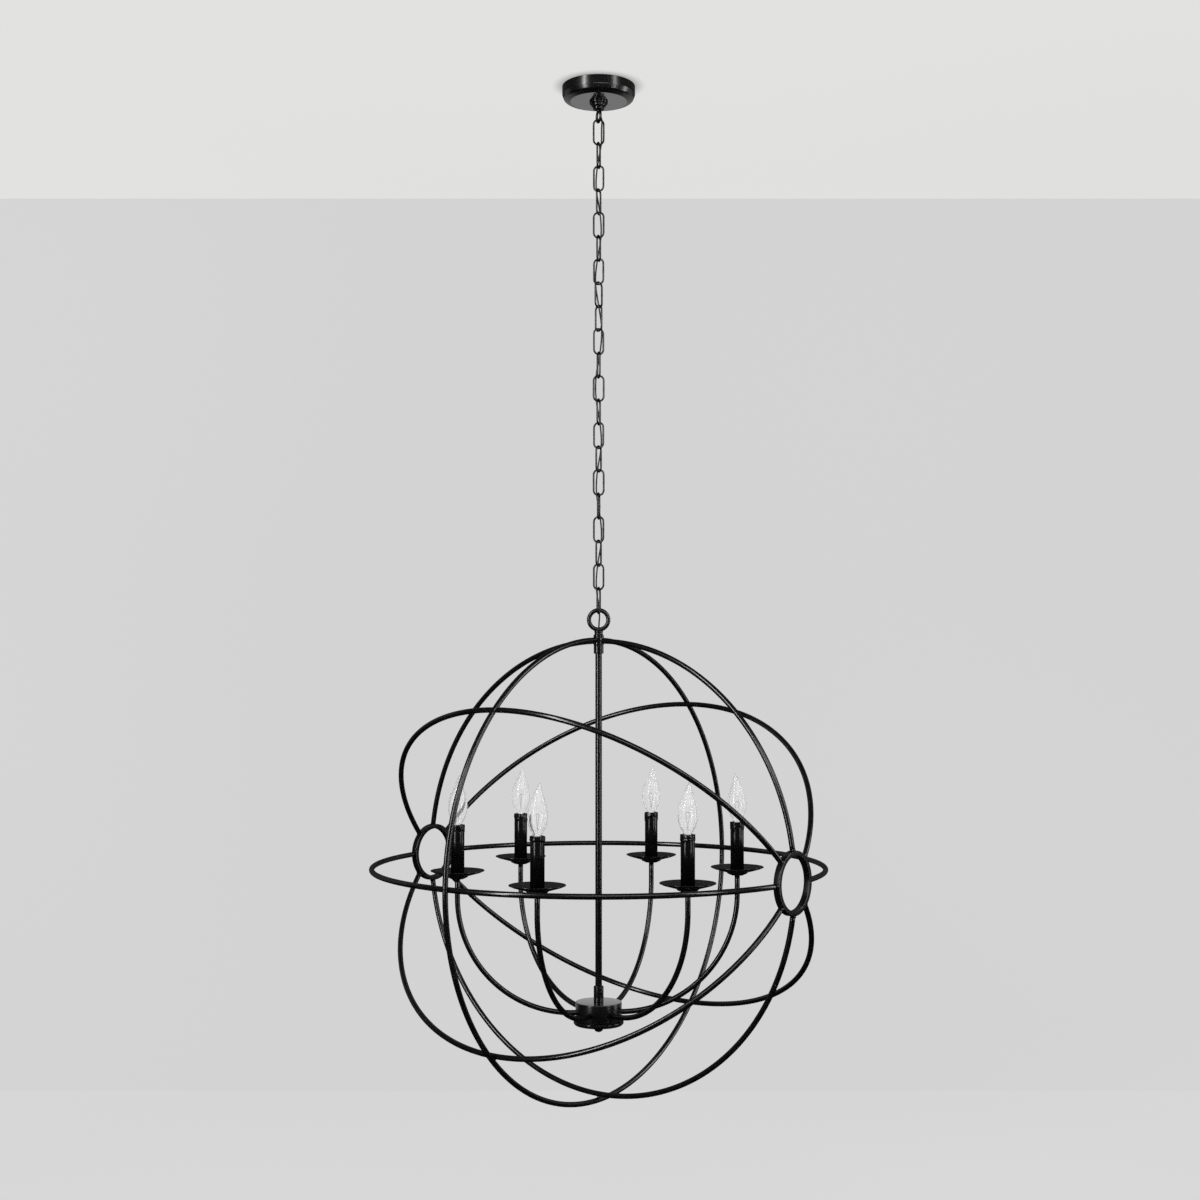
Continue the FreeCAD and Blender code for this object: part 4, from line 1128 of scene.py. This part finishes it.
def room_plane(name, corners, colour, mirrored):
    mesh = bpy.data.meshes.new(name)
    mesh.from_pydata([tuple(value * MM for value in corner) for corner in corners], [], [(0, 1, 2, 3)])
    mesh.materials.append(room_surface(name, colour, mirrored))
    item = bpy.data.objects.new(name, mesh)
    bpy.context.scene.collection.objects.link(item)
    return item


def make_room():
    """The wall leans back below the ceiling, to leave the orb room to swing."""
    wide, near, far = WALL_HALF_WIDTH, -WALL_HALF_WIDTH, WALL_DEPTH
    floor, ceiling = FLOOR_HEIGHT, CEILING_GAP
    low_near = [(-wide, near, floor), (wide, near, floor)]
    low_far = [(-wide, far + WALL_LEAN, floor), (wide, far + WALL_LEAN, floor)]
    high_near = [(-wide, near, ceiling), (wide, near, ceiling)]
    high_far = [(-wide, far, ceiling), (wide, far, ceiling)]
    room_plane("wall", low_far + high_far[::-1], WALL_COLOUR, WALL_MIRRORED)
    corners = high_near[:1] + high_far + high_near[1:]
    above = room_plane("ceiling", corners, CEILING_COLOUR, CEILING_MIRRORED)
    above.visible_glossy = above.visible_shadow = False
    room_plane("floor", low_near + low_far[::-1], FLOOR_COLOUR, FLOOR_MIRRORED)


def area_light(name, place, target, width, height, power):
    data = bpy.data.lights.new(name, "AREA")
    data.shape = "RECTANGLE"
    data.size, data.size_y, data.energy = width, height, power
    item = bpy.data.objects.new(name, data)
    item.location = Vector(place)
    item.rotation_mode = "QUATERNION"
    item.rotation_quaternion = (Vector(target) - Vector(place)).to_track_quat("-Z", "Y")
    item.visible_camera = item.visible_transmission = False
    bpy.context.scene.collection.objects.link(item)


def make_world():
    """A dim room all round that looks pale to the camera and through glass."""
    world = bpy.data.worlds.new("room")
    bpy.context.scene.world = world
    world.use_nodes = True
    tree = world.node_tree
    dim = tree.nodes["Background"]
    dim.inputs["Color"].default_value = (1, 1, 1, 1)
    dim.inputs["Strength"].default_value = ROOM_DIMNESS
    pale = tree.nodes.new("ShaderNodeBackground")
    pale.inputs["Color"].default_value = (*WALL_COLOUR, 1)
    light, seen = tree.nodes.new("ShaderNodeLightPath"), tree.nodes.new("ShaderNodeMath")
    seen.operation = "MAXIMUM"
    mix = tree.nodes.new("ShaderNodeMixShader")
    tree.links.new(light.outputs["Is Camera Ray"], seen.inputs[0])
    tree.links.new(light.outputs["Is Transmission Ray"], seen.inputs[1])
    tree.links.new(seen.outputs["Value"], mix.inputs["Fac"])
    tree.links.new(dim.outputs["Background"], mix.inputs[1])
    tree.links.new(pale.outputs["Background"], mix.inputs[2])
    tree.links.new(mix.outputs["Shader"], tree.nodes["World Output"].inputs["Surface"])


def make_light():
    middle = (0, 0, orb_centre * MM)
    for name, place, width, height, power in LIGHTS:
        area_light(name, place, middle, width, height, power)


def make_camera():
    data = bpy.data.cameras.new("camera")
    data.sensor_width, data.lens = CAMERA_FILM, CAMERA_LENS
    item = bpy.data.objects.new("camera", data)
    item.location = Vector(CAMERA_PLACE) * MM
    item.rotation_euler = (math.pi / 2 + CAMERA_PITCH, 0, 0)
    bpy.context.scene.collection.objects.link(item)
    bpy.context.scene.camera = item


make_camera()
make_cord()
make_canopy()
make_collar()
make_canopy_loop()
make_chain()
make_orb_loop()
make_stem()
make_hub()
make_hoops()
make_side_rings()
make_arms()
make_candles()
make_bulbs()
dress_nodes()
make_room()
make_world()
make_light()
bpy.context.scene.view_settings.view_transform = "Standard"
